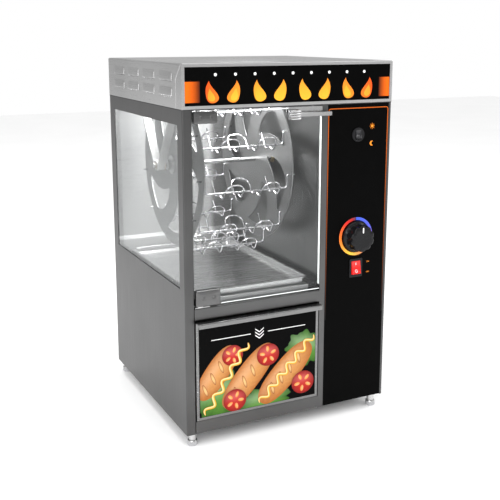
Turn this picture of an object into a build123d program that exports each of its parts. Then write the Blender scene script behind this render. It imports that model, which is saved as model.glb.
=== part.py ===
from build123d import *
import math
import os

# Driving dimensions in millimetres. X runs to the right, Y to the back and Z up from the floor.
width = 385.0
depth = 376.0
body_height = 535.0
hood_height = 70.0
sheet = 1.2
bend_radius = 2.0
seam_gap = 0.3
running_clearance = 0.06

# What stands out of the body: the knob in front, the cable gland behind and the feet below.
front_reach = 24.0
rear_reach = 16.0
foot_height = 24.0
foot_diameter = 17.0
foot_inset_front = 15.0
foot_inset_rear = 10.0

# Front face, measured from its edges inwards and from the underside of the body upwards
post_width = 16.2
post_depth = 9.0
right_return = 5.2
rear_return = 12.0
panel_width = 121.3
panel_depth = 12.0
strip_width = 10.5
bottom_rail = 22.0
drawer_bay = 174.0
cross_rail = 21.0
top_rail_depth = 12.0
sill_height = 9.0
sill_set_back = 15.0
pan_wall = 20.0
pan_set_back = 14.0

# Side window, with its lower edge measured up from the chamber's floor
window_front = 21.5
window_back = 28.0
window_rise = 21.0
window_top = 24.5
side_glass = 4.0
glass_overlap = 7.0
clip_width = 14.0
clip_foot = 12.0
clip_bite = 8.0
clip_inset = 60.0

# Glass door
glass = 5.0
door_side_gap = 1.2
door_end_gap = 0.5
door_bottom_gap = 3.0
door_top_gap = 3.0
door_set_back = 0.5
door_axis_inset = 9.6
clamp_plate = 3.0
clamp_edge = 0.6
upper_clamp = (40.0, 19.0)
lower_clamp = (43.0, 26.0)
clamp_core = (21.0, 14.0)
pivot_diameter = 6.0
pivot_clearance = 0.05
pivot_depth = 11.0
pivot_play = 1.0
pivot_plate_length = 26.0
washer_diameter = 10.8

# Door handle, the channel along the door's upper edge and the catch above it
handle_left = 184.0
handle_block = (17.5, 12.0, 16.0)
handle_bar = (4.0, 7.0)
handle_overhang = 12.0
handle_drop = 3.0
handle_grooves = 4
groove_size = (2.4, 1.6)
channel_height = 9.0
channel_wall = 1.0
catch_size = (14.0, 7.4, 8.0)
catch_gap = 1.6

# Drawer for the buns
drawer_gap = 1.7
drawer_lift = 0.8
drawer_side_room = 8.0
drawer_depth = 330.0
drawer_wall = 120.0
box_lift = 4.0
lip_reach = 14.0
lip_height = 8.0
picture_margin = 5.0
picture_top_margin = 11.0
picture_thickness = 1.0
runner_top = 50.0
runner_height = 20.0
runner_tail = 6.0
slide_bar = 5.0
slide_gap = 0.3
slide_front = 30.0
slide_tail = 10.0

# Chamber
ceiling_drop = 21.0
ceiling_lip = 6.0
ceiling_front = 20.0
rear_wall_gap = 16.0
wall_foot = 10.0
joggle = 6.0
joggle_height = 26.0
flange_gap = 1.5

# Drip tray
tray_wall = 12.0
tray_rim = 5.0
tray_left_gap = 22.0
tray_right_gap = 10.0
tray_front_gap = 18.0
tray_back_gap = 14.0
tray_corner = 8.0

# Carousel
cradle_count = 11
first_pin_angle = 21.0
axle_diameter = 8.0
disc_thickness = 1.5
rim_outside_pins = 12.0
rim_band = 23.0
window_count = 6
window_corner = 4.0
hub_radius = 46.0
hub_flange = (16.0, 2.0)
hub_boss = (9.0, 10.0)
left_disc_gap = 50.5
right_disc_gap = 36.0
wheel_front_gap = 14.0
wheel_rear_gap = 20.0
wheel_top_gap = 15.0
wheel_bottom_gap = 20.0
cradle_spacing_gap = 13.0

# Cradle wires
wire_diameter = 3.0
hook_wire_diameter = 2.4
wire_sides = 6
leg_inset = 4.0
leg_drop = 22.0
leg_bend = 5.0
pin_bend = 2.4
pin_overhang = 9.0
hook_offsets = (-50.0, -17.0, 17.0, 50.0)
hook_low = 8.0
hook_high = 17.0
hook_low_reach = 14.0
hook_low_bend = 7.0
hook_loop_bend = 14.0
weld_depth = 0.7

# Bushes of the axle, the strap that hangs the left one and the gearmotor behind the partition
bush_diameter = 12.0
bush_flange = (18.0, 2.0)
strap = 3.0
strap_width = 14.0
strap_foot = 16.0
bracket_x = 26.0
bracket_front = 72.0
bracket_back = 78.0
motor_stand_off = 30.0
motor_bore_depth = 14.0
gearbox = (62.0, 20.0)
gearbox_boss = (20.0, 4.0)
motor_can = (50.0, 32.0)
motor_post_circle = 52.0
motor_post_diameter = 6.0
motor_plate = 2.0
motor_plate_reach = 14.0

# Heating elements and lamp, in the corners above the wheel
element_diameter = 7.0
element_sides = 8
element_hole = 7.4
element_drop = 10.0
element_pitch = 18.0
element_front = 46.0
element_back = 50.0
element_tail = 25.0
element_tip = 32.0
element_clip = (8.0, 1.5, 5.0)
element_clip_insets = (60.0, 45.0)
lamp_diameter = 10.0
lamp_front = 32.0
lamp_drop = 12.0
lamp_insets = (40.0, 30.0)
lamp_holder = (8.0, 14.0, 8.0)

# Sign on the hood
sign_margin_side = 5.0
sign_margin_end = 5.5
sign_return = 25.0
sign_thickness = 3.0
sign_gap = 0.4

# Louvres, pressed outwards from a sheet and open along their lower edge
louvre_length = 56.0
louvre_height = 12.5
louvre_depth = 3.0
louvre_lip = 0.8
louvre_slope = 3.6
hood_louvre_front = 69.0
hood_louvre_pitch = 80.0
hood_louvre_rows = (19.0, 43.0)
back_louvre_drop = 60.0
back_louvre_pitch = 26.0
back_louvre_count = 6

# Controls, measured on the front face from its right edge and down from the hood's seam
knob_place = (65.6, 230.2)
knob_diameter = 55.0
knob_gap = 1.0
knob_skirt = 6.0
knob_grip_inset = 4.0
knob_flutes = 10
knob_flute_diameter = 9.0
knob_recess = (13.0, 3.0)
spindle_diameter = 6.0
spindle_depth = 14.0
spindle_cover = 5.0
stem_diameter = 10.0
stem_reach = 3.0
thermostat_case = (38.0, 34.0, 34.0)
bezel_height = 2.0
bezel_corner = 2.0
light_switch_place = (66.6, 53.1)
light_bezel_diameter = 24.0
light_body = (20.0, 24.0)
light_rocker_size = (11.0, 15.0)
mains_switch_place = (64.7, 286.6)
mains_bezel = (26.0, 33.0)
mains_body = (22.0, 26.0, 28.0)
mains_rocker_size = (18.0, 24.0)
rocker_room = 1.0
rocker_pin = 2.4
rocker_pin_reach = 1.5
rocker_set_back = 3.0
rocker_tilt = 9.0
rocker_crest = 4.0
rocker_dish = 2.4

# Cable gland in the back panel and the terminal block inside it
gland_inset = 45.0
gland_rise = 60.0
gland_thread = 12.0
gland_bore = 7.0
gland_flange = (22.0, 5.0)
gland_nose = 15.0
gland_nut = (9.0, 5.0)
terminal_size = (60.0, 18.0, 16.0)
terminal_inset = 52.0
terminal_ways = 5
terminal_slot = (6.0, 5.0)

left = -width / 2
right = width / 2
front = (front_reach - rear_reach) / 2 - depth / 2
back = front + depth
base = foot_height
seam = base + body_height
hood_top = seam + hood_height

panel_right = right - right_return
panel_left = panel_right - panel_width
strip_left = panel_left - strip_width
partition_right = strip_left + sheet
pan_front = front + pan_set_back
hem_back = front + post_depth
sill_front = front + sill_set_back
drawer_floor_z = base + bottom_rail
cross_rail_z = drawer_floor_z + drawer_bay
cross_rail_top = cross_rail_z + cross_rail
chamber_floor_top = cross_rail_top + sill_height
ceiling_z = hood_top - ceiling_drop
rear_wall_y = back - rear_wall_gap
tray_rim_z = chamber_floor_top + slide_gap + tray_wall

# The wheel fills the chamber: its pin circle is the largest that the height and the depth allow.
pitch_share = math.sin(math.pi / cradle_count)
cradle_height = leg_drop + hook_low + wire_diameter
height_room = ceiling_z - wheel_top_gap - rim_outside_pins - tray_rim_z - wheel_bottom_gap
depth_room = (rear_wall_y - wheel_rear_gap - front - wheel_front_gap) / 2
depth_limit = (depth_room + cradle_spacing_gap / 2) / (1 + pitch_share)
pin_radius = min((height_room - cradle_height) / 2, depth_limit)
cradle_reach = pin_radius * pitch_share - cradle_spacing_gap / 2
disc_radius = pin_radius + rim_outside_pins
axle_y = front + wheel_front_gap + cradle_reach + pin_radius
axle_z = ceiling_z - wheel_top_gap - disc_radius
left_disc_x = left + left_disc_gap
right_disc_x = strip_left - right_disc_gap
motor_face = partition_right + motor_stand_off
strap_left = left + bracket_x - strap_width / 2

door_left = left + post_width + door_side_gap
door_right = strip_left - door_end_gap
door_bottom = cross_rail_top + door_bottom_gap
door_top = seam - door_top_gap
door_front = front + door_set_back
door_back = door_front + glass
door_axis_x = door_left + door_axis_inset
door_axis_y = door_front + glass / 2
handle_x = left + handle_left
handle_z = door_top - handle_drop

element_z = ceiling_z - element_drop
element_rows = (front + element_front, rear_wall_y - element_back)
knob_x, knob_z = right - knob_place[0], seam - knob_place[1]
rocker_axis_y = front + rocker_set_back
gland_x, gland_z = right - gland_inset, base + gland_rise

solids = {}


def span(x, y, z):
    """A box between two limits on each axis."""
    centre = [(limits[0] + limits[1]) / 2 for limits in (x, y, z)]
    size = [limits[1] - limits[0] for limits in (x, y, z)]
    return Pos(*centre) * Box(*size)


def around(middle, size):
    """The limits of a length about its middle."""
    return (middle - size / 2, middle + size / 2)


def folded(points, plane, length):
    """A folded sheet: the outer line of its section, with the metal on the right of its run."""
    path = FilletPolyline(*points, radius=bend_radius)
    section = make_face(offset(path, amount=sheet, side=Side.RIGHT, closed=True))
    return extrude(plane * section, amount=length)


def rod(start, end, diameter):
    """A round bar from one point to another."""
    start, end = Vector(*start), Vector(*end)
    return Solid.make_cylinder(diameter / 2, (end - start).length, Plane(start, z_dir=end - start))


def bar_x(x, y, z, diameter):
    """A round bar along X between two limits."""
    return rod((x[0], y, z), (x[1], y, z), diameter)


def bar_y(x, y, z, diameter):
    """A round bar along Y between two limits."""
    return rod((x, y[0], z), (x, y[1], z), diameter)


def along_x(x, y=0.0, z=0.0):
    """The plane across the axle, with its local x to the back and its local y up."""
    return Plane(origin=(x, y, z), x_dir=(0, 1, 0), z_dir=(1, 0, 0))


def turned(points):
    """A solid turned about the local Z axis from the outline of its radii and heights."""
    return revolve(Plane.XZ * make_face(Polyline(*points, close=True)), Axis.Z)


def rounded_chain(corners, radii, steps):
    """A chain of points whose corners are rounded, each by an arc cut into its own few steps."""
    points = [corners[0]]
    for before, corner, after, radius, count in zip(corners, corners[1:], corners[2:], radii, steps):
        inward = (corner - before).normalized()
        outward = (after - corner).normalized()
        turn = math.acos(max(-1.0, min(1.0, inward.dot(outward))))
        start = corner - inward * radius * math.tan(turn / 2)
        to_centre = (outward - inward * math.cos(turn)).normalized()
        for step in range(count + 1):
            angle = turn * step / count
            sideways = to_centre * radius * (1 - math.cos(angle))
            points.append(start + inward * radius * math.sin(angle) + sideways)
    return points + [corners[-1]]


def wire(points, diameter, sides):
    """A few-sided wire along a chain of points, mitred at each of them."""
    runs = [(after - before).normalized() for before, after in zip(points, points[1:])]
    start = Plane(origin=points[0], z_dir=runs[0])
    turns = [2 * math.pi * side / sides for side in range(sides)]
    radius = diameter / 2
    rings = [[start.from_local_coords((radius * math.cos(a), radius * math.sin(a), 0)) for a in turns]]
    for place, point in enumerate(points[1:]):
        run = runs[place]
        mitre = run + runs[min(place + 1, len(runs) - 1)]
        reach = run.dot(mitre)
        rings.append([corner + run * ((point - corner).dot(mitre) / reach) for corner in rings[-1]])
    outlines = [rings[0], rings[-1]]
    for near, far in zip(rings, rings[1:]):
        outlines += [[near[side - 1], near[side], far[side], far[side - 1]] for side in range(sides)]
    return Solid(Shell([Face(Wire.make_polygon(outline, close=True)) for outline in outlines]))


def louvre_form(shrink):
    """The pressed form of a louvre, lying on its sheet with its mouth at local z = 0."""
    length = louvre_length - 2 * shrink
    form = Solid.make_wedge(length, louvre_depth - shrink, louvre_height - shrink,
                            louvre_slope, 0, length - louvre_slope, louvre_lip)
    return Pos(-length / 2, 0, 0) * form


def add_louvres(panel, places, turn):
    """Press louvres into a panel: turn brings the outward direction to the panel's own."""
    seats = [Pos(*place) * turn for place in places]
    for seat in seats:
        panel = panel + seat * louvre_form(0.0)
    slot_length = louvre_length - 8 * louvre_lip
    slot_height = louvre_height - 4 * louvre_lip
    slot = Pos(0, -sheet, slot_height / 2) * Box(slot_length, 2 * sheet, slot_height)
    for seat in seats:
        panel = panel - seat * (Pos(0, 0, -louvre_lip) * louvre_form(louvre_lip)) - seat * slot
    return panel


def make_side_panels():
    """Left panel with its window and front post, and the plain right panel."""
    post_x = left + post_width
    left_outline = [(post_x, hem_back), (post_x, front), (left, front), (left, back),
                    (left + rear_return, back)]
    panel = folded(left_outline, Plane.XY.offset(base), body_height)
    opening = span((left - 1, left + 2 * sheet), (front + window_front, back - window_back),
                   (chamber_floor_top + window_rise, seam - window_top))
    solids["left_side_panel"] = panel - opening
    right_outline = [(right - rear_return, back), (right, back), (right, front), (panel_right, front)]
    solids["right_side_panel"] = folded(right_outline, Plane.XY.offset(base), body_height)


def make_side_window():
    """The fixed pane behind the side opening and the clips that hold it."""
    inner = left + sheet
    y_limits = (front + window_front - glass_overlap, back - window_back + glass_overlap)
    z_limits = (chamber_floor_top + window_rise - glass_overlap, seam - window_top + glass_overlap)
    solids["side_window_glass"] = span((inner, inner + side_glass), y_limits, z_limits)
    clips = []
    for edge, away in ((z_limits[1], 1), (z_limits[0], -1)):
        # Each clip is a foot on the panel, a step over the pane's edge and a tongue on its face.
        step, foot, tip = edge + away * slide_gap, edge + away * clip_foot, edge - away * clip_bite
        face, back_face = inner + side_glass, inner + side_glass + sheet
        outline = [(inner, foot), (inner, step), (face, step), (face, tip), (back_face, tip),
                   (back_face, step + away * sheet), (inner + sheet, step + away * sheet),
                   (inner + sheet, foot)]
        section = make_face(Polyline(*outline, close=True))
        for y in (y_limits[0] + clip_inset, sum(y_limits) / 2, y_limits[1] - clip_inset):
            plane = Plane(origin=(0, y + clip_width / 2, 0), x_dir=(1, 0, 0), z_dir=(0, -1, 0))
            clips.append(extrude(plane * section, amount=clip_width))
    solids["window_clips"] = Compound(children=clips)


def make_base_and_feet():
    """The pan that closes the body below, and the four levelling feet."""
    x_limits, y_limits = (left + sheet, right - sheet), (pan_front, back - 2 * sheet)
    pan = span(x_limits, y_limits, (base, base + pan_wall))
    hollow = span((x_limits[0] + sheet, x_limits[1] - sheet), (y_limits[0] + sheet, y_limits[1] - sheet),
                  (base + sheet, base + pan_wall + 1))
    solids["base_pan"] = pan - hollow
    feet = []
    for x in (left + foot_inset_front, right - foot_inset_front):
        for y in (front + foot_inset_front, back - foot_inset_rear):
            feet.append(rod((x, y, 0), (x, y, base), foot_diameter))
    solids["feet"] = Compound(children=feet)


def make_front_frame():
    """The frame around the door and the drawer: three folded rails joined by the upright strip."""
    rail_left = left + post_width
    rail_length = strip_left - rail_left
    plane = along_x(rail_left)
    shelf = sill_front + sheet
    bottom = folded([(pan_front, base), (front, base), (front, drawer_floor_z)], plane, rail_length)
    cross = folded([(shelf, cross_rail_z), (front, cross_rail_z), (front, cross_rail_top),
                    (shelf, cross_rail_top)], plane, rail_length)
    top = span((rail_left, strip_left), (front, front + top_rail_depth), (seam - sheet, seam))
    strip = span((strip_left, panel_left), (front, front + sheet), (base, seam))
    solids["front_frame"] = strip + bottom + cross + top


def make_back_panel():
    """The rear cover with its louvres and the hole for the cable gland."""
    face = back - sheet
    panel = span((left + 2 * sheet, right - 2 * sheet), (face - sheet, face), (base, seam))
    panel = panel - bar_y(gland_x, (face - 2 * sheet, back), gland_z, gland_thread)
    bay_middle = (partition_right + right) / 2
    rows = [seam - back_louvre_drop - back_louvre_pitch * row for row in range(back_louvre_count)]
    solids["back_panel"] = add_louvres(panel, [(bay_middle, face, z) for z in rows], Rot(0, 0, 0))


def make_gland():
    """The gland that a cable would leave through: a flange, a nut inside and a round nose."""
    bore, thread = gland_bore / 2, gland_thread / 2 - running_clearance
    flange, flange_length = gland_flange[0] / 2, gland_flange[1]
    nut_radius, nut_length = gland_nut
    nose, reach = gland_nose / 2, rear_reach + sheet
    tail = -sheet - 2 * nut_length
    body = turned([(bore, tail), (thread, tail), (thread, 0), (flange, 0), (flange, flange_length),
                   (nose, flange_length), (nose, reach), (bore, reach)])
    nut = extrude(RegularPolygon(nut_radius, 6) - Circle(thread + running_clearance / 2), amount=nut_length)
    place = Plane(origin=(gland_x, back - sheet, gland_z), x_dir=(1, 0, 0), z_dir=(0, 1, 0))
    solids["cable_gland"] = Compound(children=[place * body, place * Pos(0, 0, -sheet - nut_length) * nut])


def make_partition():
    """The chamber's right wall, whose metal lies on the side of the controls."""
    rear_flange = back - 3 * sheet
    outline = [(panel_left - flange_gap, front + sheet), (strip_left, front + sheet),
               (strip_left, rear_flange), (strip_left + rear_return, rear_flange)]
    partition = folded(outline, Plane.XY.offset(base + sheet), ceiling_z - base)
    sign_relief = span((strip_left - 1, panel_left), (front, front + sign_thickness + 4 * sheet),
                       (seam - 2 * sheet, hood_top))
    pan_relief = span((strip_left - 1, panel_left), (front, pan_front + 2 * sheet),
                      (base, base + pan_wall + 1))
    through = (strip_left - 1, partition_right + 1)
    partition -= sign_relief + pan_relief + bar_x(through, axle_y, axle_z, bush_diameter)
    for y in element_rows:
        partition -= bar_x(through, y, element_z, element_hole)
        partition -= bar_x(through, y + element_pitch, element_z, element_hole)
    solids["partition_wall"] = partition


def make_chamber():
    """Floor, rear wall and ceiling of the heated chamber."""
    inner_left = left + sheet
    plane, length = along_x(inner_left), strip_left - inner_left
    floor = [(sill_front, cross_rail_top), (sill_front, chamber_floor_top),
             (rear_wall_y, chamber_floor_top), (rear_wall_y, chamber_floor_top + wall_foot)]
    solids["chamber_floor"] = folded(floor, plane, length)
    joggle_z = chamber_floor_top + joggle_height
    wall = [(rear_wall_y + joggle, ceiling_z), (rear_wall_y + joggle, joggle_z + joggle),
            (rear_wall_y, joggle_z), (rear_wall_y, chamber_floor_top + bend_radius)]
    solids["chamber_rear_wall"] = folded(wall, plane, length)
    ceiling = [(hem_back, seam + ceiling_lip), (front + ceiling_front, ceiling_z + sheet),
               (back - sheet, ceiling_z + sheet)]
    solids["chamber_ceiling"] = folded(ceiling, plane, length)


def make_bushes():
    """The flanged bushes in the hanger and in the partition."""
    bore, outer = axle_diameter / 2 + running_clearance, bush_diameter / 2
    flange, flange_width = bush_flange[0] / 2, bush_flange[1]
    length = strap_width + flange_width
    bush = turned([(bore, 0), (outer, 0), (outer, strap_width), (flange, strap_width),
                   (flange, length), (bore, length)])
    facing = Plane(origin=(strip_left + strap_width, axle_y, axle_z), x_dir=(0, 1, 0), z_dir=(-1, 0, 0))
    solids["axle_bushes"] = Compound(children=[along_x(strap_left, axle_y, axle_z) * bush, facing * bush])


def make_hanger():
    """The V of flat strap that hangs from the ceiling round the left bush."""
    boss = bush_diameter / 2 + strap
    rise = ceiling_z - axle_z
    spreads = (axle_y - front - bracket_front, rear_wall_y - bracket_back - axle_y)
    section = Circle(boss)
    for side, spread in zip((-1, 1), spreads):
        # Each arm leaves the boss along its tangent and ends in a flat foot under the ceiling.
        lean = math.atan2(spread, rise)
        run = Vector(math.sin(lean), math.cos(lean))
        away = Vector(math.cos(lean), -math.sin(lean))
        outer, inner = away * boss, away * (boss - strap)
        corner = outer + run * ((rise - strap - outer.Y) / run.Y)
        top = inner + run * ((rise - inner.Y) / run.Y)
        tip = corner.X + strap_foot
        outline = [(outer.X, outer.Y), (corner.X, corner.Y), (tip, rise - strap), (tip, rise),
                   (top.X, top.Y), (inner.X, inner.Y)]
        section += make_face(Polyline(*[(side * y, z) for y, z in outline], close=True))
    section -= Circle(bush_diameter / 2)
    solids["axle_hanger"] = extrude(along_x(strap_left, axle_y, axle_z) * section, amount=strap_width)


def make_heaters():
    """Two hairpin elements fed through the partition, with the hoops that hold them up."""
    elements = []
    clips = []
    clip_length, hoop, drop = element_clip
    bend = element_pitch / 2
    feed, tip = partition_right + element_tail, left + element_tip
    for y in element_rows:
        far = y + element_pitch
        corners = [Vector(feed, y, element_z), Vector(tip, y, element_z), Vector(tip, far, element_z),
                   Vector(feed, far, element_z)]
        chain = rounded_chain(corners, (bend - 0.1, bend - 0.1), (3, 3))
        elements.append(wire(chain, element_diameter, element_sides))
        inner = (y - bend + hoop, far + bend - hoop)
        for x in (left + element_clip_insets[0], strip_left - element_clip_insets[1]):
            outer = (inner[0] - hoop, inner[1] + hoop)
            post = span((x, x + clip_length), outer, (element_z - drop, ceiling_z))
            hollow = span((x - 1, x + clip_length + 1), inner,
                          (element_z - element_diameter / 2, ceiling_z + 1))
            clips.append(post - hollow)
    solids["heating_elements"] = Compound(children=elements)
    solids["element_clips"] = Compound(children=clips)


def make_lamp():
    """The lamp tube along the front of the ceiling, between its two holders."""
    holder_length, holder_width, holder_drop = lamp_holder
    lamp_y, lamp_z = front + lamp_front, ceiling_z - lamp_drop
    holders_x = (left + lamp_insets[0], strip_left - lamp_insets[1])
    solids["lamp_tube"] = bar_x((holders_x[0] + holder_length, holders_x[1]), lamp_y, lamp_z, lamp_diameter)
    holders = [span((x, x + holder_length), around(lamp_y, holder_width), (lamp_z - holder_drop, ceiling_z))
               for x in holders_x]
    solids["lamp_holders"] = Compound(children=holders)


def make_hood():
    """The hood over the body, with a mitred front corner and louvres on both sides."""
    mitre = [(front, seam), (front, hood_top), (front + sign_return, hood_top - sign_return),
             (front + sign_return, seam)]
    mitre_cut = extrude(along_x(left - 1) * make_face(Polyline(*mitre, close=True)), amount=width + 2)
    side_band = span((left - 1, right + 1), (front - 1, back), (seam - 1, hood_top - sheet))
    inside = span((left + sheet, right - sheet), (front - 1, back - sheet), (seam - 1, hood_top - sheet))
    body = span((left, right), (front, back), (seam, hood_top))
    body = fillet(body.edges().filter_by(Axis.Y).group_by(Axis.Z)[-1], bend_radius)
    hood = body - inside - (mitre_cut & side_band)
    columns = 1 + int((depth - hood_louvre_front - louvre_length / 2) // hood_louvre_pitch)
    rows = [seam + rise for rise in hood_louvre_rows]
    steps = [front + hood_louvre_front + hood_louvre_pitch * column for column in range(columns)]
    for x, turn in ((left, Rot(0, 0, 90)), (right, Rot(0, 0, -90))):
        hood = add_louvres(hood, [(x, y, z) for y in steps for z in rows], turn)
    solids["top_hood"] = hood


def make_sign():
    """The frame of the sign, folded back round the hood's corners, and the plate in it."""
    top, corner = hood_top - sheet - sign_gap, front + sign_return - sign_gap
    cheek = [(front, seam), (front, top), (front + sign_gap, top),
             (corner, hood_top - sign_return - sign_gap), (corner, seam)]
    cheek = make_face(Polyline(*cheek, close=True))
    frame = span((left, right), (front, front + sheet), (seam, hood_top - sheet))
    frame -= span((left + sign_margin_side, right - sign_margin_side), (front - 1, front + 2 * sheet),
                  (seam + sign_margin_end, hood_top - sign_margin_end))
    frame += span((left, right), (front, front + sign_thickness + 3 * sheet), (seam, seam + sheet))
    for x in (left, right - sheet):
        frame += extrude(along_x(x) * cheek, amount=sheet)
    solids["sign_frame"] = frame
    solids["sign_panel"] = span((left + 2 * sheet, right - 2 * sheet),
                                (front + sheet, front + sheet + sign_thickness),
                                (seam + sheet, hood_top - sheet))


def switch_place(place):
    """Where a switch stands on the front face."""
    return right - place[0], seam - place[1]


def rocker_well(place, size):
    """The well of a rocker, with the cross bore for its pins."""
    x, z = switch_place(place)
    well = Pos(x, front, z) * Box(size[0] + rocker_room, panel_depth + 8, size[1] + rocker_room)
    reach = size[0] + 2 * rocker_pin_reach + rocker_room
    bore = rocker_pin + 2 * running_clearance
    return well + bar_x(around(x, reach), rocker_axis_y, z, bore)


def make_control_panel():
    """The black panel with the holes for its controls."""
    top = seam - sheet - seam_gap
    face = span((panel_left, panel_right), (front, front + panel_depth), (base + sheet, top))
    hollow = span((panel_left + sheet, panel_right - sheet), (front + sheet, front + panel_depth + 1),
                  (base + 2 * sheet, top - sheet))
    through = (front - 1, front + 2 * sheet)
    light_x, light_z = switch_place(light_switch_place)
    mains_x, mains_z = switch_place(mains_switch_place)
    holes = bar_y(knob_x, through, knob_z, stem_diameter) + bar_y(light_x, through, light_z, light_body[0])
    holes += span(around(mains_x, mains_body[0]), through, around(mains_z, mains_body[2]))
    solids["control_panel"] = face - hollow - holes


def make_switch_housings():
    """The fixed bodies of the thermostat and of the two switches."""
    case = span(around(knob_x, thermostat_case[0]), (front + sheet, front + sheet + thermostat_case[1]),
                around(knob_z, thermostat_case[2]))
    case += bar_y(knob_x, (front - stem_reach, front + 2 * sheet), knob_z, stem_diameter)
    bore_depth = front + spindle_depth + pivot_play / 2
    bore = spindle_diameter + 2 * running_clearance
    case -= bar_y(knob_x, (front - stem_reach - 1, bore_depth), knob_z, bore)
    solids["thermostat"] = case

    x, z = switch_place(light_switch_place)
    light = bar_y(x, (front, front + light_body[1]), z, light_body[0])
    light += bar_y(x, (front - bezel_height, front), z, light_bezel_diameter)
    solids["light_switch_housing"] = light - rocker_well(light_switch_place, light_rocker_size)

    x, z = switch_place(mains_switch_place)
    body = span(around(x, mains_body[0]), (front, front + mains_body[1]), around(z, mains_body[2]))
    bezel = span(around(x, mains_bezel[0]), (front - bezel_height, front), around(z, mains_bezel[1]))
    bezel = fillet(bezel.edges().filter_by(Axis.Y), bezel_corner)
    solids["mains_switch_housing"] = body + bezel - rocker_well(mains_switch_place, mains_rocker_size)


def make_rocker(place, size):
    """A rocker key on its pivot pins, tilted so that its upper end is pressed in."""
    x, z = switch_place(place)
    half_width, half_height = size[0] / 2, size[1] / 2
    tail, waist = rocker_crest, half_height / 2.4
    crest = -rocker_set_back - rocker_crest
    profile = [(tail, -waist), (tail, waist), (-1, half_height), (crest, half_height - 1),
               (crest + rocker_dish, 0), (crest, 1 - half_height), (-1, -half_height)]
    body = extrude(along_x(-half_width) * make_face(Polyline(*profile, close=True)), amount=size[0])
    body += bar_x(around(0, size[0] + 2 * rocker_pin_reach), 0, 0, rocker_pin)
    return Pos(x, rocker_axis_y, z) * Rot(-rocker_tilt, 0, 0) * body


def make_controls():
    """The fluted knob with its spindle, and the two rockers."""
    skirt, height = knob_diameter / 2, front_reach - knob_gap
    grip = skirt - knob_grip_inset
    recess, recess_depth = knob_recess[0] / 2, knob_recess[1]
    knob = turned([(0, recess_depth), (recess, recess_depth), (recess, 0), (skirt, 0),
                   (skirt, knob_skirt / 2), (grip, knob_skirt), (grip, height), (0, height)])
    flute = Cylinder(knob_flute_diameter / 2, height, align=(Align.CENTER, Align.CENTER, Align.MIN))
    for place in PolarLocations(grip + knob_flute_diameter / 3, knob_flutes):
        knob -= place * Pos(0, 0, knob_skirt) * flute
    spindle_end = height - spindle_cover
    knob -= rod((0, 0, 0), (0, 0, spindle_end), spindle_diameter)
    plane = Plane(origin=(knob_x, front - knob_gap, knob_z), x_dir=(1, 0, 0), z_dir=(0, -1, 0))
    solids["temperature_knob"] = plane * knob
    solids["thermostat_spindle"] = bar_y(knob_x, (front - knob_gap - spindle_end, front + spindle_depth),
                                         knob_z, spindle_diameter)
    solids["light_rocker"] = make_rocker(light_switch_place, light_rocker_size)
    solids["mains_rocker"] = make_rocker(mains_switch_place, mains_rocker_size)


def door_clamp(size, end_z, inward):
    """A clamp round the door's hinge corner, solid about its pivot bore and slotted for the glass."""
    clamp_left = door_left + clamp_edge
    length, height = size
    core_width, core_depth = clamp_core
    x_limits = (clamp_left, clamp_left + length)
    z_limits = sorted((end_z, end_z + inward * height))
    block = span(x_limits, (door_front - clamp_plate, door_back + clamp_plate), z_limits)
    keep = span((clamp_left, door_left + core_width), (door_front, door_back),
                sorted((end_z, end_z + inward * core_depth)))
    slot = span((x_limits[0] - 1, x_limits[1] + 1), (door_front, door_back),
                (z_limits[0] - 1, z_limits[1] + 1))
    bore = rod((door_axis_x, door_axis_y, end_z - inward),
               (door_axis_x, door_axis_y, end_z + inward * pivot_depth),
               pivot_diameter + 2 * pivot_clearance)
    return block - (slot - keep) - bore


def make_door():
    """The glass pane, notched for the clamps at its hinge corners, and the pivots it turns on."""
    core_width, core_depth = clamp_core
    pane = span((door_left, door_right), (door_front, door_back), (door_bottom, door_top))
    notch_x, notch_y = (door_left - 1, door_left + core_width), (door_front - 1, door_back + 1)
    pane -= span(notch_x, notch_y, (door_bottom - 1, door_bottom + core_depth))
    pane -= span(notch_x, notch_y, (door_top - core_depth, door_top + 1))
    solids["door_glass"] = pane
    solids["upper_door_clamp"] = door_clamp(upper_clamp, door_top, -1)
    solids["lower_door_clamp"] = door_clamp(lower_clamp, door_bottom, 1)

    plate_top = cross_rail_top + sheet
    plate_x = (door_left, door_left + pivot_plate_length)
    plate = span(plate_x, (front + slide_gap, sill_front - slide_gap), (cross_rail_top, plate_top))
    washer = rod((door_axis_x, door_axis_y, plate_top),
                 (door_axis_x, door_axis_y, door_bottom - running_clearance), washer_diameter)
    lower = rod((door_axis_x, door_axis_y, plate_top),
                (door_axis_x, door_axis_y, door_bottom + pivot_depth - pivot_play), pivot_diameter)
    upper = rod((door_axis_x, door_axis_y, seam - sheet),
                (door_axis_x, door_axis_y, door_top - pivot_depth + pivot_play), pivot_diameter)
    solids["door_pivots"] = Compound(children=[plate + lower + washer, upper])


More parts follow.
